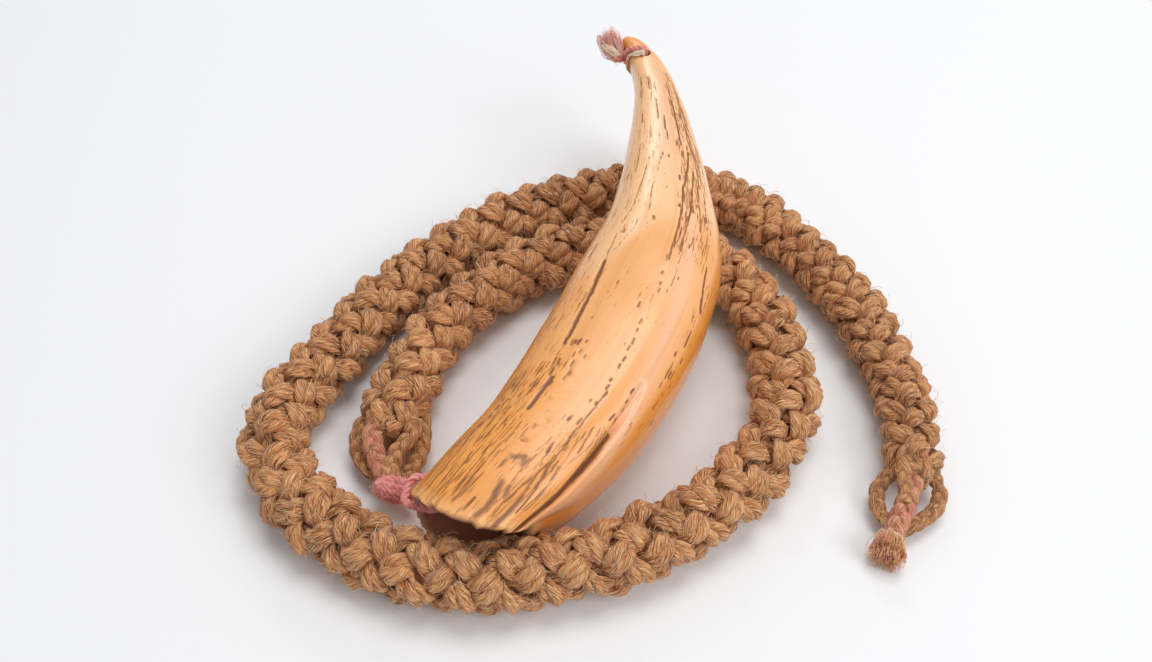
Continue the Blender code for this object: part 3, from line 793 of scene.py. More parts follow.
fine_strokes = [stroke for zone in ZONES for stroke in scattered(zone)]
nicks = [stroke for zone in SCRATCHES for stroke in nicked(zone)]
print(len(fine_strokes), "fine strokes and", len(nicks), "nicks")

# %% [markdown]
# ## The tooth as mesh
#
# Rings of points go from the hollow, round the rim and along the outside to the tip, closer
# together on the side that faces the eye. The strokes are laid on it by distance: they lower
# the skin and leave an attribute that the material reads. Two more attributes hold the slow
# colours: amber where oil has soaked in, and pink, which is a painted highlight along the
# convex ridge of the root half and a paler pink over the crown of the neck.

# %% Rings and strokes
RINGS = 372
TIP_RINGS = 22
SIDES = 204
CAVITY_RINGS = 26
CROWN_FROM, CROWN_TO = -0.02 * pi, 0.86 * pi
ROUGHNESS_OF_EDGES = 0.00030
tooth_hand = np.random.default_rng(23)


def stroke_field(places, points, width):
    """How much of a stroke reaches each place: 1 on it, falling to 0 beside it."""
    low, high = points.min(0) - width * 3, points.max(0) + width * 3
    inside = np.all((places > low) & (places < high), axis=1)
    near = places[inside]
    closest = np.full(len(near), 1e9)
    for start, end in zip(points, points[1:]):
        way = end - start
        t = np.clip((near - start) @ way / max(float(way @ way), 1e-12), 0, 1)
        closest = np.minimum(closest, np.linalg.norm(near - start - t[:, None] * way, axis=1))
    field = np.zeros(len(places))
    field[inside] = np.exp(-((closest / (width / 2)) ** 2))
    return field


def stroke_points(stations):
    """Places along a stroke on the bare skin, close together."""
    path = np.array(stations, dtype=float)
    steps = np.linspace(0, len(path) - 1, (len(path) - 1) * 6 + 1)
    share = np.interp(steps, np.arange(len(path)), path[:, 0])
    angle = np.interp(steps, np.arange(len(path)), path[:, 1]) * pi
    return skin(share, angle)


# More of the angles fall on the crown, which is seen, than on the belly
crown_sides = int(SIDES * 0.68)
crown = np.linspace(CROWN_FROM, CROWN_TO, crown_sides, endpoint=False)
belly = np.linspace(CROWN_TO, CROWN_FROM + tau, SIDES - crown_sides, endpoint=False)
angles = np.concatenate((crown, belly))
main_shares = ROUND_TIP_FROM * np.linspace(0, 1, RINGS, endpoint=False) ** 1.04
tip_shares = ROUND_TIP_FROM + (1 - ROUND_TIP_FROM) * np.sin(pi / 2 * np.arange(TIP_RINGS) / TIP_RINGS)
shares = np.concatenate((main_shares, tip_shares))
share_grid, angle_grid = np.meshgrid(shares, angles, indexing="ij")
around = angle_grid / pi
bare = skin(share_grid, np.mod(angle_grid, tau)).reshape(-1, 3)

# The strokes are measured from places that are shaken a little, so their edges are ragged
ragged = tooth_hand.normal(0, 1, (*share_grid.shape, 3))
for axis in (0, 1, 0, 1):
    ragged = (np.roll(ragged, 1, axis) + ragged + np.roll(ragged, -1, axis)) / 3
uneven = bare + ragged.reshape(-1, 3) * ROUGHNESS_OF_EDGES
stain = np.zeros(len(bare))
dent = np.zeros(len(bare))


def draw(stations, width, dark, deep=0.0):
    """Lays one mark on the skin, its width and depth in millimetres."""
    field = stroke_field(uneven, stroke_points(stations), width / 1000)
    np.maximum(stain, field * dark, out=stain)
    np.maximum(dent, field * deep / 1000, out=dent)


for mark in GROOVES + BLOTCHES:
    draw(*mark)
for mark in GRAIN_LINES:
    draw(*mark, 0.06)
for share, part in PITS:
    half = 0.0035 * tooth_hand.uniform(0.6, 1.5)
    draw(((share - half, part), (share + half, part)), 0.7, tooth_hand.uniform(0.6, 1.0), 0.12)
for mark in fine_strokes + nicks:
    draw(*mark, 0.04)


def ramp_up(values, low, high):
    """From 0 below low to 1 above high, smoothly."""
    t = np.clip((values - low) / (high - low), 0, 1)
    return t * t * (3 - 2 * t)


hairs = np.full(len(bare), 0.10)
flat_share, flat_part = share_grid.ravel(), around.ravel()
for _, low, high, first, last, _, _, _, _, density in ZONES:
    soft = ramp_up(flat_share, low - 0.06, low + 0.02)
    soft *= ramp_up(-flat_share, -high - 0.05, -high + 0.03)
    soft *= ramp_up(flat_part, first - 0.03, first + 0.03)
    soft *= ramp_up(-flat_part, -last - 0.04, -last + 0.02)
    hairs = np.maximum(hairs, soft * density)
print("strokes laid, darkest", round(float(stain.max()), 2))

# %% Slow colours
boundary = np.interp(flat_part, (0.30, 0.51, 0.575, 0.63, 0.8), (0.53, 0.50, 0.447, 0.39, 0.36))
amber = 0.75 / (1 + np.exp((flat_share - boundary) / 0.013))
amber *= 0.75 + 0.50 * np.clip((0.30 - flat_share) / 0.3, 0, 1)
flank = np.exp(-(((flat_part - 0.02) / 0.11) ** 2)) * np.clip((0.66 - flat_share) / 0.15, 0, 1)
edge = np.exp(-(((flat_part - 0.82) / 0.09) ** 2)) * np.clip((0.66 - flat_share) / 0.2, 0, 1)
tip_glow = np.clip((flat_share - 0.90) / 0.06, 0, 1)
tip_edge = np.exp(-(((flat_part - 0.16) / 0.12) ** 2)) * np.clip((flat_share - 0.70) / 0.15, 0, 1)
amber = np.clip(amber + 0.75 * flank + 0.55 * edge + 0.8 * tip_glow + 0.7 * tip_edge, 0, 1.5)
# A pale pink band along the convex ridge of the root half: a painted highlight
band_at = np.interp(flat_share, (0.04, 0.08, 0.124, 0.192, 0.273, 0.366, 0.482),
                    (0.10, 0.12, 0.175, 0.25, 0.29, 0.315, 0.36))
pink = np.exp(-(((flat_part - band_at) / 0.060) ** 2)) * np.clip((0.62 - flat_share) / 0.1, 0, 1)
# A paler pink over the crown of the neck
neck_share = np.clip((flat_share - 0.60) / 0.1, 0, 1) * (1 - tip_glow)
pink += 0.8 * np.exp(-(((flat_part - 0.45) / 0.12) ** 2)) * neck_share
print("amber up to", round(float(amber.max()), 2), "and pink up to", round(float(pink.max()), 2))

# %% The closed mesh
rim_wave = np.interp(angles, np.linspace(CROWN_FROM, CROWN_FROM + tau, 61),
                     np.append(tooth_hand.normal(0, 0.00030, 60), 0.0))
rim_wave[:4] *= np.linspace(0, 1, 4)
slow_wave = (np.sin(share_grid * 34 + around * 3) + np.sin(share_grid * 61 - around * 9 + 1)) * 0.00004
nose = -0.0007 * np.sin(pi * np.clip((share_grid - 0.962) / 0.038, 0, 1)) ** 0.7
rows_out = skin(share_grid, np.mod(angle_grid, tau), nose)
inward = -unit(np.cross(np.gradient(rows_out, axis=0), np.gradient(rows_out, axis=1)))
centre_way = np.stack((tooth_size(share_grid, 1) - rows_out[..., 0],
                       np.zeros_like(share_grid), -rows_out[..., 2]), axis=-1)
flip = np.sign(np.sum(inward * centre_way, axis=-1, keepdims=True))
calm = np.clip(share_grid / 0.01, 0, 1) * np.clip((1 - share_grid) / 0.06, 0, 1)
lowered = (dent.reshape(share_grid.shape) + slow_wave) * calm
rows_out = rows_out + inward * flip * lowered[..., None]
rows_out[..., 1] += rim_wave[None, :] * np.clip(1 - share_grid * 30, 0, 1)

# The wall of the hollow root narrows to the pulp's end
cavity_rows = []
depth = CAVITY_DEPTH / TOOTH_LENGTH
for part in np.linspace(0, 1, CAVITY_RINGS, endpoint=False):
    narrowing = float(tooth_size(np.array(part * depth), 3)) - ROOT_WALL
    inset = ROOT_WALL + narrowing * part**1.6
    row = skin(part * depth, np.mod(angles, tau), inset, carved=False)
    row[:, 1] += rim_wave * max(0.0, 1 - part * 12)
    cavity_rows.append(row)
pulp_end = skin(depth, pi / 2, float(tooth_size(np.array(depth), 3)))
rows = cavity_rows[::-1] + list(rows_out)
inner_count = len(cavity_rows) * SIDES
verts = np.concatenate((np.concatenate(rows), skin(1.0, 0.0)[None, :], pulp_end[None, :]))
verts = laid(verts)
verts[:, 2] = np.maximum(verts[:, 2], 0.0)
faces = []
for r in range(len(rows) - 1):
    low, high = r * SIDES, (r + 1) * SIDES
    for k in range(SIDES):
        n = (k + 1) % SIDES
        faces.append((low + k, low + n, high + n, high + k))
tip_at, pulp_at = len(verts) - 2, len(verts) - 1
top = (len(rows) - 1) * SIDES
for k in range(SIDES):
    n = (k + 1) % SIDES
    faces.append((top + k, top + n, tip_at))
    faces.append((n, k, pulp_at))
tooth_mesh = bpy.data.meshes.new("polished_tooth")
tooth_mesh.from_pydata(verts.tolist(), [], faces)


def tooth_attribute(name, outside, inside):
    """An attribute with values outside, and one value for the whole hollow."""
    values = np.concatenate((np.full(inner_count, inside), outside, (outside[-1], inside)))
    tooth_mesh.attributes.new(name, "FLOAT", "POINT").data.foreach_set("value", values)


for name, outside, inside in (("stain", stain, 0.0), ("amber", amber, 0.0), ("pink", pink, 0.0),
                              ("hollow", np.zeros(len(bare)), 1.0), ("reach", flat_share, 0.0),
                              ("hairs", hairs, 0.0)):
    tooth_attribute(name, outside, inside)

# The grain runs along the tooth, as if it were a straight bar of 20 mm radius
bar = np.column_stack((np.cos(flat_part * pi) * 0.020, np.sin(flat_part * pi) * 0.020,
                       flat_share * TOOTH_LENGTH))
lengthwise = np.concatenate((*cavity_rows[::-1], bar, np.zeros((2, 3))))
grain_data = tooth_mesh.attributes.new("grain", "FLOAT_VECTOR", "POINT").data
grain_data.foreach_set("vector", lengthwise.ravel())
work = bmesh.new()
work.from_mesh(tooth_mesh)
bmesh.ops.recalc_face_normals(work, faces=work.faces)
work.to_mesh(tooth_mesh)
work.free()
tooth_mesh.shade_smooth()
print("tooth", len(tooth_mesh.vertices), "points")

# %% [markdown]
# ## Polished ivory
#
# The tooth is dentine, rubbed smooth and then soaked and smoked in oil. That leaves a warm
# cream to orange body with fine lengthwise grain, a soft shine of roughness about 0.3, and a
# little light that sinks in before it comes back. Ivory's IOR is about 1.54. Stains are less
# shiny, and the hollow is raw, brown and dull.

# %% Ivory material
# The colour called bare is the pale pink of the pink attribute: a painted highlight along the convex
# ridge of the root half, and a paler pink over the crown of the neck
IVORY = {"cream": "#FFCB98", "oiled": "#F39E44", "bare": "#FBC5A2", "streak": "#D98E4C",
         "worn rim": "#F4CE96", "ochre": "#B5742F", "dark": "#86502F"}
RAW_DENTINE = ("#8C4A38", "#C07A5C")


def polished_ivory():
    """Oiled dentine: orange over cream, with dark grain, and raw and brown in the hollow."""
    made, tree, shader = new_material("oiled_and_polished_ivory")
    given = {key: add(tree, "ShaderNodeAttribute", attribute_name=key).outputs["Fac"]
             for key in ("stain", "amber", "pink", "hollow", "reach", "hairs")}
    grain = add(tree, "ShaderNodeAttribute", attribute_name="grain").outputs["Vector"]
    coords = add(tree, "ShaderNodeTexCoord").outputs["Object"]

    # Noise about 0.7, 2.4, 0.5 and 3 mm wide, each drawn out along the tooth by its own amount
    noises = {}
    for key, stretch, scale, detail, rough in (
        ("fine", 0.045, 1500.0, 4.0, 0.6), ("wide", 0.045, 420.0, 3.0, 0.5),
        ("hair", 0.11, 2200.0, 2.5, 0.55), ("patches", 0.30, 340.0, 2.0, 0.5),
    ):
        drawn_out = add(tree, "ShaderNodeMapping", {"Vector": grain, "Scale": (1.0, 1.0, stretch)})
        noises[key] = add(tree, NOISE, {"Vector": drawn_out, "Scale": scale, "Detail": detail,
                                        "Roughness": rough})
    cloud = add(tree, NOISE, {"Vector": coords, "Scale": 60.0, "Detail": 3.0})

    # Where the oil went in, the pale pink band (a painted highlight along the convex ridge, paler pink
    # on the neck), the streaks and the worn rim
    oiled = add(tree, MATH, {0: cloud, 1: 0.5}, operation="SUBTRACT")
    oiled = add(tree, MATH, {0: oiled, 1: 0.5, 2: given["amber"]}, operation="MULTIPLY_ADD")
    oiled = add(tree, MATH, {0: oiled, 1: 0.0}, operation="MAXIMUM")
    oiled = add(tree, MATH, {0: oiled, 1: 1.0}, operation="MINIMUM")
    pink_band = add(tree, MATH, {0: given["pink"], 1: 0.7}, operation="MULTIPLY")
    streak = add(tree, "ShaderNodeMapRange", {0: noises["wide"], 1: 0.50, 2: 0.75, 3: 0.0, 4: 0.40})
    worn = add(tree, "ShaderNodeMapRange", {0: given["reach"], 1: 0.014, 2: 0.003, 3: 0.0, 4: 0.85})
    worn = add(tree, MATH, {0: worn, 1: cloud}, operation="MULTIPLY")

    # Hair lines where they are dense, and the strokes, broken up by the same noise
    dense = add(tree, MATH, {0: noises["patches"], 1: 2.6, 2: -0.35}, operation="MULTIPLY_ADD")
    dense = add(tree, MATH, {0: given["hairs"], 1: dense}, operation="MULTIPLY")
    over = add(tree, MATH, {0: dense, 1: 0.19, 2: noises["hair"]}, operation="MULTIPLY_ADD")
    over = add(tree, MATH, {0: over, 1: -0.71}, operation="ADD")
    breakup = add(tree, MATH, {0: noises["hair"], 1: 1.1, 2: 0.42}, operation="MULTIPLY_ADD")
    stained = add(tree, MATH, {0: given["stain"], 1: breakup}, operation="MULTIPLY")
    grain_shares = []
    for hair_from, hair_to, most, from_stain, to_stain in (
        (0.0, 0.05, 0.85, 0.16, 0.45), (0.075, 0.125, 0.90, 0.42, 0.66),
    ):
        hair_line = add(tree, "ShaderNodeMapRange", {0: over, 1: hair_from, 2: hair_to, 3: 0.0, 4: most})
        stroke = add(tree, "ShaderNodeMapRange", {0: stained, 1: from_stain, 2: to_stain})
        grain_shares.append(add(tree, MATH, {0: stroke, 1: hair_line}, operation="MAXIMUM"))

    raw = add(tree, "ShaderNodeMix", {0: cloud, 6: hex_linear(RAW_DENTINE[0]),
                                      7: hex_linear(RAW_DENTINE[1])}, data_type="RGBA")
    body = hex_linear(IVORY["cream"])
    for share, over_it in (
        (oiled, hex_linear(IVORY["oiled"])), (pink_band, hex_linear(IVORY["bare"])),
        (streak, hex_linear(IVORY["streak"])), (worn, hex_linear(IVORY["worn rim"])),
        (grain_shares[0], hex_linear(IVORY["ochre"])), (grain_shares[1], hex_linear(IVORY["dark"])),
        (given["hollow"], raw.outputs[2]),
    ):
        body = add(tree, "ShaderNodeMix", {0: share, 6: body, 7: over_it}, data_type="RGBA").outputs[2]
    dull = add(tree, MATH, {0: stained, 1: 0.30, 2: 0.22}, operation="MULTIPLY_ADD")
    dull_inside = add(tree, MATH, {0: given["hollow"], 1: 0.8}, operation="MULTIPLY")
    dull = add(tree, MATH, {0: dull, 1: dull_inside}, operation="MAXIMUM")
    height = add(tree, MATH, {0: noises["fine"], 1: 0.5, 2: noises["wide"]}, operation="MULTIPLY_ADD")
    bump = add(tree, "ShaderNodeBump", {"Strength": 0.12, "Distance": 0.0004, "Height": height})
    feed(shader, {"Base Color": body, "Roughness": dull, "Normal": bump, "IOR": 1.54,
                  "Subsurface Weight": 0.08, "Subsurface Radius": (0.9, 0.5, 0.25),
                  "Subsurface Scale": 0.002})
    return made


tooth_mesh.materials.append(polished_ivory())
tooth = bpy.data.objects.new("polished_tooth", tooth_mesh)
SCENE.collection.objects.link(tooth)

# %% [markdown]
# ## The two drilled holes
#
# One hole goes up through the tip and one sideways through the wall at the root's corner. Each
# is a drill, a plain round bar, taken away from the tooth with a Boolean modifier.

# %% Drill the holes
def drill(name, centre, direction, diameter, length):
    """A round bar of the hole's diameter, with its middle at the given place."""
    mesh = bpy.data.meshes.new(name)
    rod = bmesh.new()
    bmesh.ops.create_cone(rod, cap_ends=True, segments=40, radius1=diameter / 2,
                          radius2=diameter / 2, depth=length)
    turn = direction.to_track_quat("Z", "Y").to_matrix().to_4x4()
    rod.transform(Matrix.Translation(centre) @ turn)
    rod.to_mesh(mesh)
    rod.free()
    made = bpy.data.objects.new(name, mesh)
    SCENE.collection.objects.link(made)
    return made


tip_hole = LYING @ Vector((TIP_HOLE_ACROSS * TOOTH_LENGTH, TIP_HOLE_SHARE * TOOTH_LENGTH, 0.0))
rim_edge = skin(CORNER_BORE_INSET / TOOTH_LENGTH, pi)
corner_hole = LYING @ Vector((rim_edge[0] + ROOT_WALL / 2, rim_edge[1], 0.0))
up = LYING.to_3x3() @ Vector((0, 0, 1))
drills = (drill("tip_drill", tip_hole, up, TIP_BORE, 0.04),
          drill("corner_drill", corner_hole, Vector((1, 0, 0)), CORNER_BORE, ROOT_WALL * 3))
for rod_object in drills:
    cut = tooth.modifiers.new(rod_object.name, "BOOLEAN")
    cut.operation = "DIFFERENCE"
    cut.solver = "EXACT"
    cut.object = rod_object
graph = bpy.context.evaluated_depsgraph_get()
drilled = bpy.data.meshes.new_from_object(
    tooth.evaluated_get(graph), preserve_all_data_layers=True, depsgraph=graph)
tooth.modifiers.clear()
tooth.data = drilled
drilled.name = "polished_tooth"
for rod_object in drills:
    bpy.data.objects.remove(rod_object)
drilled.calc_loop_triangles()
print("drilled tooth", len(drilled.loop_triangles), "triangles")

# %% [markdown]
# ## Where the cord is pressed
#
# The lumps of the plait stand a little proud of its thickness. The table flattens those
# underneath, and the tooth presses in those it rests on, so their points are moved out of both.
# Points deeper in the tooth than a lump stands proud belong to lumps on its far side, and stay.

# %% Press the plait
DEEPEST_PRESS = 0.0011
SKIN_GAP = 0.0001
TABLE_GAP = 0.00005


def places_of(piece):
    """Where a piece's points are."""
    spots = np.empty(len(piece.data.vertices) * 3)
    piece.data.vertices.foreach_get("co", spots)
    return spots.reshape(-1, 3)


def press(piece, tree):
    """Moves a piece's points up off the floor and out of the tooth."""
    spots = places_of(piece)
    low, high = verts.min(0) - 0.001, verts.max(0) + 0.001
    near = np.nonzero(np.all((spots > low) & (spots < high), axis=1))[0]
    pressed = 0
    for i in near:
        spot = Vector(spots[i])
        closest, normal, _, _ = tree.find_nearest(spot, 0.004)
        if closest and -DEEPEST_PRESS < (spot - closest).dot(normal) < SKIN_GAP:
            spots[i] = closest + normal * SKIN_GAP
            pressed += 1
    spots[:, 2] = np.maximum(spots[:, 2], TABLE_GAP)
    piece.data.vertices.foreach_set("co", spots.ravel())
    return pressed


tooth_tree = BVHTree.FromPolygons([tuple(v) for v in verts], faces)
print("points pressed", [press(piece, tooth_tree) for piece in rope_pieces])

# %% [markdown]
# ## Wool and the cream strip
#
# The ties are soft wool yarn, two plies twisted together, in faded red and pink, with a narrow
# strip of cream bark cloth beside the red one. The same strand tree twists the plies. Their
# loose ends are brushed out into tufts of single fibres.

# %% Wool materials
def wool(name, dark, light):
    """Twisted wool yarn: matt, with short fibres that catch the light at its edge."""
    made, tree, shader = new_material(name)
    coords = add(tree, "ShaderNodeTexCoord").outputs["Object"]

    # Fibres 0.4 mm wide, coarser than real wool so that they show, on patches of 2 mm
    fuzz = add(tree, NOISE, {"Vector": coords, "Scale": 2600.0, "Detail": 2.0})
    slow = add(tree, NOISE, {"Vector": coords, "Scale": 500.0})
    both = add(tree, MATH, {0: slow, 1: 0.5}, operation="MULTIPLY")
    both = add(tree, MATH, {0: fuzz, 1: 0.6, 2: both}, operation="MULTIPLY_ADD")
    tint = add(tree, "ShaderNodeMapRange", {0: both, 1: 0.40, 2: 0.68})
    body = add(tree, "ShaderNodeMix", {0: tint, 6: hex_linear(dark), 7: hex_linear(light)},
               data_type="RGBA")
    bump = add(tree, "ShaderNodeBump", {"Strength": 0.7, "Distance": 0.0003, "Height": fuzz})
    feed(shader, {"Base Color": body.outputs[2], "Normal": bump, "Roughness": 0.9, "Sheen Weight": 0.15})
    return made


red_wool = wool("faded_red_wool", "#D46C64", "#FAB8AE")
pink_wool = wool("faded_pink_wool", "#E07276", "#FFB9B2")
white_wool = wool("undyed_white_wool", "#D9B9A4", "#F6E4D2")
bark_strip = wool("cream_bark_strip", "#CDA98A", "#F3DEC6")

# %% Ties at the tip and at the root's corner
RED_YARN = 0.0018
CREAM_STRIP = 0.0012
PINK_YARN = 0.0024
TIP_KNOT_SIZE = 0.0040
TUFT_LENGTH = 0.0108
LOOP_RISE = 0.0036
TWIST = {"Count": 3, "Rate in and out": 1.0, "Start in and out": pi / 2, "Period": 0.0055,
         "Sides": 8, "Lobe": 0.0}
FLAT_STRIP = {"Count": 2, "Sideways": 0.0004, "In and out": 0.0002, "Rate in and out": 1.0,
              "Period": 0.012, "Sides": 12, "Finish": bark_strip}


def tip_loop_points(shift, diameter):
    """A loop up through the tip's hole and round the concave edge, close to it."""
    share = TIP_HOLE_SHARE + shift / TOOTH_LENGTH
    off = -diameter * 0.46
    hole = TIP_HOLE_ACROSS * TOOTH_LENGTH
    above = float(tooth_size(np.array(share), 3)) - off
    path = [np.array((hole, share * TOOTH_LENGTH, above * side)) for side in (-1.0, 0.0, 1.0)]
    bow = np.linspace(0, pi, 15)
    rise = np.interp(bow / pi, (0.0, 0.5, 0.8, 1.0), (0.0, 0.45, 1.0, 0.0)) * LOOP_RISE
    hug = skin(share + rise / TOOTH_LENGTH, pi * np.linspace(0.62, 1.40, 15), off)
    return laid(np.array(path + list(hug) + path[:2]))


def yarn_line(points):
    """A line whose outward direction is kept steady, for a round yarn."""
    line = evenly(smooth_line(points, 400), 0.0005)
    onward = unit(np.gradient(line, axis=0))
    out = unit(np.cross(onward, (0.31, 0.62, 0.72)))
    return lead_line(line, out, np.ones(len(line)), np.ones(len(line)), loose_hand.random())


def yarn(name, points, diameter, finish):
    """Wool yarn of three twisted plies along the points."""
    values = {**TWIST, "Sideways": diameter * 0.24, "In and out": diameter * 0.24,
              "Strand width": diameter * 0.54, "Strand thickness": diameter * 0.54, "Finish": finish}
    return grown(name, line_mesh(name, [yarn_line(points)]), STRANDS, values)


apart = (RED_YARN + CREAM_STRIP) / 2 + CLEARANCE
middle_of_both = (RED_YARN - CREAM_STRIP) / 4
red_tie = yarn("tip_red_wool", tip_loop_points(apart / 2 - middle_of_both, RED_YARN), RED_YARN,
               red_wool)
strip_line = yarn_line(tip_loop_points(-apart / 2 - middle_of_both - 0.0003, CREAM_STRIP))
strip_line["outward"] = unit(strip_line["at"] - strip_line["at"].mean(0))
strip_tie = grown("tip_bark_strip", line_mesh("tip_bark_strip", [strip_line]), STRANDS, {
    **FLAT_STRIP, "Strand width": 0.0017, "Strand thickness": 0.0008})
knot_edge = skin(TIP_HOLE_SHARE + TIP_KNOT_SIZE / 2 / TOOTH_LENGTH, pi)
beyond = CLEARANCE * 2 + RED_YARN / 2 + TIP_KNOT_SIZE * 0.45
knot_at = laid(knot_edge - np.array((beyond, 0, 0)))


def knot_points(centre, size, turns=2.6):
    """Yarn wound round and round a small egg, as a knot."""
    t = np.linspace(0, 1, 60)
    a = tau * turns * t
    b = pi * (0.15 + 0.7 * t) + 0.5 * np.sin(a)
    shape = np.stack((np.cos(a) * np.sin(b), np.sin(a) * np.sin(b), np.cos(b)), axis=1)
    return centre + shape * np.array(size) / 2


tip_knot = yarn("tip_red_knot", knot_points(knot_at, (0.0030, 0.0030, 0.0030)), 0.0016, red_wool)
ROOT_KNOT = (-0.0258, 0.0055, 0.0080)
root_knot_at = on_floor([ROOT_KNOT])[0]
root_knot = yarn("root_pink_knot", knot_points(root_knot_at, (0.0098, 0.0052, 0.0060), 4.6), PINK_YARN,
                 pink_wool)


def root_ring_points():
    """Wool through the corner hole and round the rim, as a closed ring."""
    outer = skin(0.0, pi)[0] - CLEARANCE * 4 - PINK_YARN / 2
    inner = rim_edge[0] + ROOT_WALL + CLEARANCE * 3 + PINK_YARN / 2
    past = -PINK_YARN / 2 - CLEARANCE * 3
    middle = np.array(((inner + outer) / 2, (rim_edge[1] + past) / 2, 0.0))
    a = np.linspace(0, tau, 33)
    ring = np.stack((powered(np.cos(a), 4.0) * (inner - outer) / 2,
                     powered(np.sin(a), 4.0) * (rim_edge[1] - past) / 2, a * 0), axis=1) + middle
    return laid(ring)


root_ring = yarn("root_pink_wool", root_ring_points(), PINK_YARN, pink_wool)

# %% [markdown]
# ## Tufts and stray fibres
#
# Brushed-out wool and frayed coir end in single fibres. Each is a thin bent tube with three
# sides, which is all that shows of a hair. One tree turns lines into such tubes. Another
# scatters bent fibres over the plait, because coir always stands out in a fuzz.

# %% Tufts
TUFT_CURL = 1.1


def hair_tree():
    """The tree that turns each line into one thin hair."""
    tree, given = new_tree("hairs_from_lines", {"Radius": 0.0001})
    size = add(tree, "GeometryNodeInputNamedAttribute", {"Name": "size"})
    curves = add(tree, "GeometryNodeMeshToCurve", {"Mesh": given["Given"]})
    ring = add(tree, "GeometryNodeCurvePrimitiveCircle", {"Resolution": 3, "Radius": given["Radius"]})
    swept = add(tree, "GeometryNodeCurveToMesh",
                {"Curve": curves, "Profile Curve": ring, "Scale": size, "Fill Caps": True})
    return end_tree(tree, swept, given["Finish"])


HAIRS = hair_tree()


def tuft(name, start, end, narrow, wide, count, radius, finish):
    """Fibres fanning out from start to end, each one bent a little its own way."""
    start, end = np.array(start), np.array(end)
    way = end - start
    length = np.linalg.norm(way)
    side = unit(np.cross(way, (0.1, 0.2, 1.0)))
    other = unit(np.cross(way, side))
    t = np.linspace(0, 1, 7)[:, None]
    lines = []
    for _ in range(count):
        a, r = tooth_hand.uniform(0, tau), float(np.sqrt(tooth_hand.random()))
        off = (side * np.cos(a) + other * np.sin(a)) * r
        first = start + off * narrow / 2
        last = first + way * tooth_hand.uniform(0.6, 1.05) + off * (wide - narrow) / 2
        bend = unit(tooth_hand.normal(size=3)) * length * TUFT_CURL * tooth_hand.uniform(0.1, 0.5)
        line = (1 - t) ** 2 * first + 2 * t * (1 - t) * ((first + last) / 2 + bend) + t**2 * last
        line[:, 2] = np.maximum(line[:, 2], radius * 1.5)
        lines.append(lead_line(line, np.zeros((7, 3)), np.linspace(1, 0.6, 7), np.ones(7), 0.5))
    return grown(name, line_mesh(name, lines), HAIRS, {"Radius": radius, "Finish": finish})


# %% Tufts at the tip and at the loose end
TOWARDS_EYE = unit(np.array((0.171, -0.660, 0.731)))
STRIP_END_WAY = np.array((-0.885, 0.224, 0.409))
FAR_TUFT_TIP = (0.1022, 0.0182, 0.0040)
loose_fibre = coconut_fibre("loose_coconut_fibre", "#C08858", "#F0BA84", "#FFD8A8", "#FFE8C4",
                            "#F0BA84", 0.0)
loose_pink = coconut_fibre("loose_pink_fibre", "#C87A60", "#F2A488", "#FFC4AA", "#FFDCC8",
                           "#FF9C8C", 0.6)
tuft_wool = wool("brushed_pink_wool", "#FF9484", "#FFD6C8")
away = unit(np.array(LYING.to_3x3()) @ np.array((-0.56, 0.82, 0.06)))
tip_tuft = tuft("tip_wool_tuft", knot_at, knot_at + away * TUFT_LENGTH, 0.0024, 0.0084, 420,
                0.00008, tuft_wool)

# The strip's cut end stands out of the knot, with its flat side to the eye
strip_start = knot_at + TOWARDS_EYE * 0.0018
strip_end_line = yarn_line((
    strip_start, strip_start + STRIP_END_WAY * 0.0034 - TOWARDS_EYE * 0.0003,
    strip_start + STRIP_END_WAY * 0.0066 - TOWARDS_EYE * 0.0016))
strip_end_line["outward"] = np.tile(TOWARDS_EYE, (len(strip_end_line["at"]), 1))
strip_end = grown("tip_bark_strip_end", line_mesh("tip_bark_strip_end", [strip_end_line]), STRANDS, {
    **FLAT_STRIP, "Strand width": 0.0019, "Strand thickness": 0.0007})
tip_tuft_white = tuft("tip_white_fibres", knot_at, knot_at + away * TUFT_LENGTH * 0.98, 0.0028,
                      0.0070, 170, 0.00009, white_wool)
far_end_at, far_tip = on_floor([FAR_PLAIT[-1], FAR_TUFT_TIP])
far_tuft = tuft("far_end_tuft", far_end_at, far_tip, 0.0050, 0.0105, 330, 0.00011, loose_fibre)
far_tuft_pink = tuft("far_end_pink_tuft", far_end_at, far_tip, 0.0050, 0.0100, 170, 0.00011,
                     loose_pink)

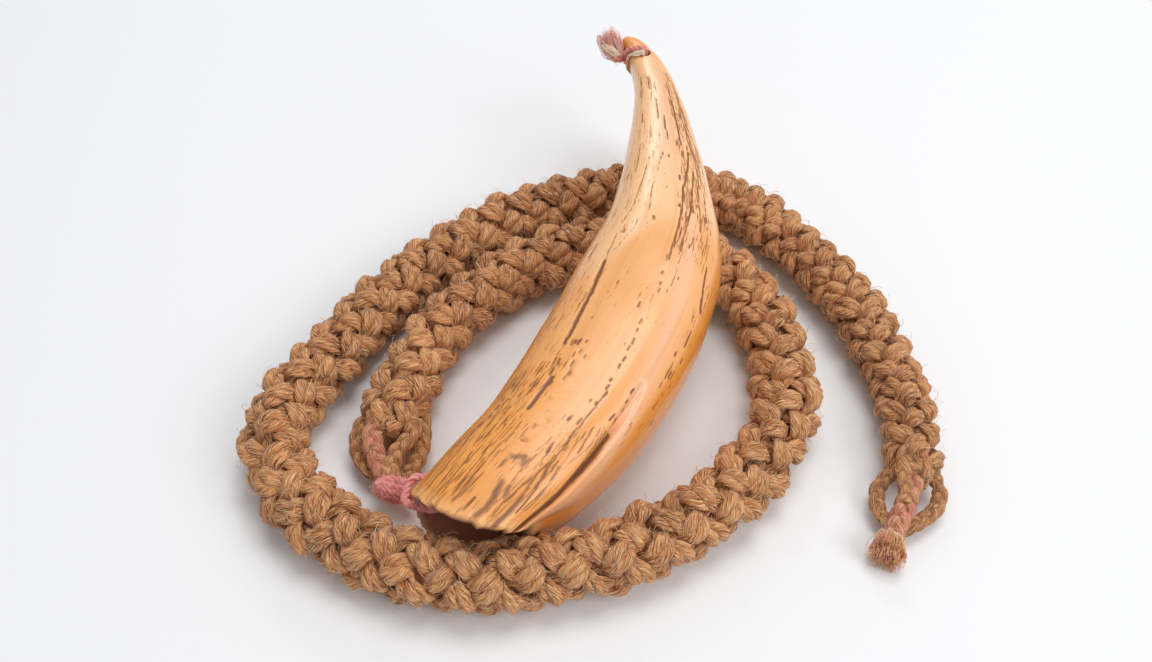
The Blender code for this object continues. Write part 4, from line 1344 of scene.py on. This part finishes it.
# %% Stray fibres over the plait
def stray_tree():
    """The tree that scatters bent fibres over the outer side of a surface."""
    tree, given = new_tree("stray_fibres", {
        "Per square metre": 20000.0, "Fibre length": 0.005, "Fibre radius": 0.00009, "Seed": 3})
    lift = add(tree, "GeometryNodeInputNamedAttribute", {"Name": "lift"})
    outside = add(tree, MATH, {0: lift, 1: 0.2}, operation="GREATER_THAN")
    spots = add(tree, "GeometryNodeDistributePointsOnFaces", {
        "Mesh": given["Given"], "Selection": outside, "Density": given["Per square metre"],
        "Seed": given["Seed"]}, distribute_method="RANDOM")
    long = given["Fibre length"]
    bend = add(tree, VECTOR, {0: (0.55, 0.0, 0.34), "Scale": long}, operation="SCALE")
    tip = add(tree, VECTOR, {0: (0.80, 0.45, -0.02), "Scale": long}, operation="SCALE")
    arc = add(tree, "GeometryNodeCurveQuadraticBezier",
              {"Resolution": 3, "Start": (0.0, 0.0, -0.0002), "Middle": bend, "End": tip})
    ring = add(tree, "GeometryNodeCurvePrimitiveCircle",
               {"Resolution": 3, "Radius": given["Fibre radius"]})
    hair = add(tree, "GeometryNodeCurveToMesh",
               {"Curve": arc, "Profile Curve": ring, "Fill Caps": True})
    spin = add(tree, "FunctionNodeRandomValue", {2: 0.0, 3: tau, "Seed": 8}, data_type="FLOAT")
    spin = add(tree, "FunctionNodeAxisAngleToRotation",
               {"Axis": (0.0, 0.0, 1.0), "Angle": spin.outputs[1]})
    turned = add(tree, "FunctionNodeRotateRotation",
                 {"Rotation": spots.outputs["Rotation"], "Rotate By": spin}, rotation_space="LOCAL")
    size = add(tree, "FunctionNodeRandomValue", {2: 0.35, 3: 1.25, "Seed": 9}, data_type="FLOAT")
    placed = add(tree, "GeometryNodeInstanceOnPoints", {
        "Points": spots.outputs["Points"], "Instance": hair, "Rotation": turned,
        "Scale": size.outputs[1]})
    return end_tree(tree, placed, given["Finish"])


STRAYS = stray_tree()
root_fuzz = grown("root_pink_fuzz", root_knot.data.copy(), STRAYS, {
    "Per square metre": 1.2e6, "Fibre length": 0.0022, "Fibre radius": 0.00005, "Finish": tuft_wool})
tip_fuzz = grown("tip_red_fuzz", tip_knot.data.copy(), STRAYS, {
    "Per square metre": 2.6e6, "Fibre length": 0.0014, "Fibre radius": 0.00004, "Finish": tuft_wool})
stray_pieces = []
for k, piece in enumerate(rope_pieces):
    fuzz = grown(f"coir_stray_fibres_{k + 1}", piece.data.copy(), STRAYS, {
        "Per square metre": 85000.0, "Fibre length": 0.0038, "Fibre radius": 0.00006, "Seed": k + 1,
        "Finish": loose_fibre})
    spots = places_of(fuzz)
    spots[:, 2] = np.maximum(spots[:, 2], 0.0001)
    fuzz.data.vertices.foreach_set("co", spots.ravel())
    stray_pieces.append(fuzz)

# %% [markdown]
# ## Floor and light
#
# The object lies on a plain white table under a large soft light nearly overhead, in a white
# room, so the shadows are short and soft. A smaller one low behind it gives the polished neck
# its long shine, and a weak one at the right lightens that flank.

# %% Floor and light
FLOOR_HALF = 3.0
FLOOR_LEVEL = -0.0002
floor_mesh = bpy.data.meshes.new("floor")
corners = [(x * FLOOR_HALF, y * FLOOR_HALF, FLOOR_LEVEL)
           for x, y in ((-1, -1), (1, -1), (1, 1), (-1, 1))]
floor_mesh.from_pydata(corners, [], [(0, 1, 2, 3)])
floor = bpy.data.objects.new("floor", floor_mesh)
SCENE.collection.objects.link(floor)
paper, _, paper_shader = new_material("matt_white_paper")
feed(paper_shader, {"Base Color": hex_linear("#F4F5F7"), "Roughness": 0.9})
floor_mesh.materials.append(paper)


def soft_light(name, place, size, power):
    """A round soft light, turned to the middle of the object."""
    data = bpy.data.lights.new(name, "AREA")
    data.shape = "DISK"
    data.size = size
    data.energy = power
    made = bpy.data.objects.new(name, data)
    SCENE.collection.objects.link(made)
    made.location = place
    made.rotation_euler = (-Vector(place)).to_track_quat("-Z", "Y").to_euler()


soft_light("overhead", (0.15, 0.35, 1.60), 1.0, 11.0)
soft_light("back_window", (-0.33, 0.92, 0.80), 0.30, 1.3)
soft_light("side_fill", (0.90, -0.35, 0.80), 0.8, 5.5)
SCENE.world = bpy.data.worlds.new("white_room")
SCENE.world.use_nodes = True
feed(SCENE.world.node_tree.nodes["Background"], {"Color": hex_linear("#FFFFFF"), "Strength": 0.41})
SCENE.view_settings.view_transform = "Standard"

# %% [markdown]
# ## What belongs to what
#
# The part has one body, so every piece rides on it. The new pieces stand for the plain solids
# of the imported model.

# %% Pieces, bodies and slots
cord_parts = rope_pieces[1:] + [near_loops, near_pink, far_loops, far_pink, far_tuft, far_tuft_pink]
cord_parts += stray_pieces
SLOTS = {
    "coconut_fibre": [rope_pieces[0], *cord_parts],
    "red_wool": [red_tie, tip_knot, tip_fuzz, tip_tuft, tip_tuft_white],
    "pink_wool": [root_ring, root_knot, root_fuzz],
    "cream_strip": [strip_tie, strip_end],
    "polished_tooth": [tooth],
}
STANDS_FOR = {
    "tooth": tooth, "coir_rope": rope_pieces[0], "rope_near_end": near_loops,
    "rope_far_end": far_loops, "tip_wool_tie": red_tie, "tip_cream_strip": strip_tie,
    "root_wool_tie": root_ring,
}
for slot_name, pieces in SLOTS.items():
    for piece in pieces:
        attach(piece, "root")
for node_name, piece in STANDS_FOR.items():
    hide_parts(node_name)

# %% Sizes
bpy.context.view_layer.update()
total = sum(len(piece.data.loop_triangles) for pieces in SLOTS.values() for piece in pieces)
print("triangles in all", total)
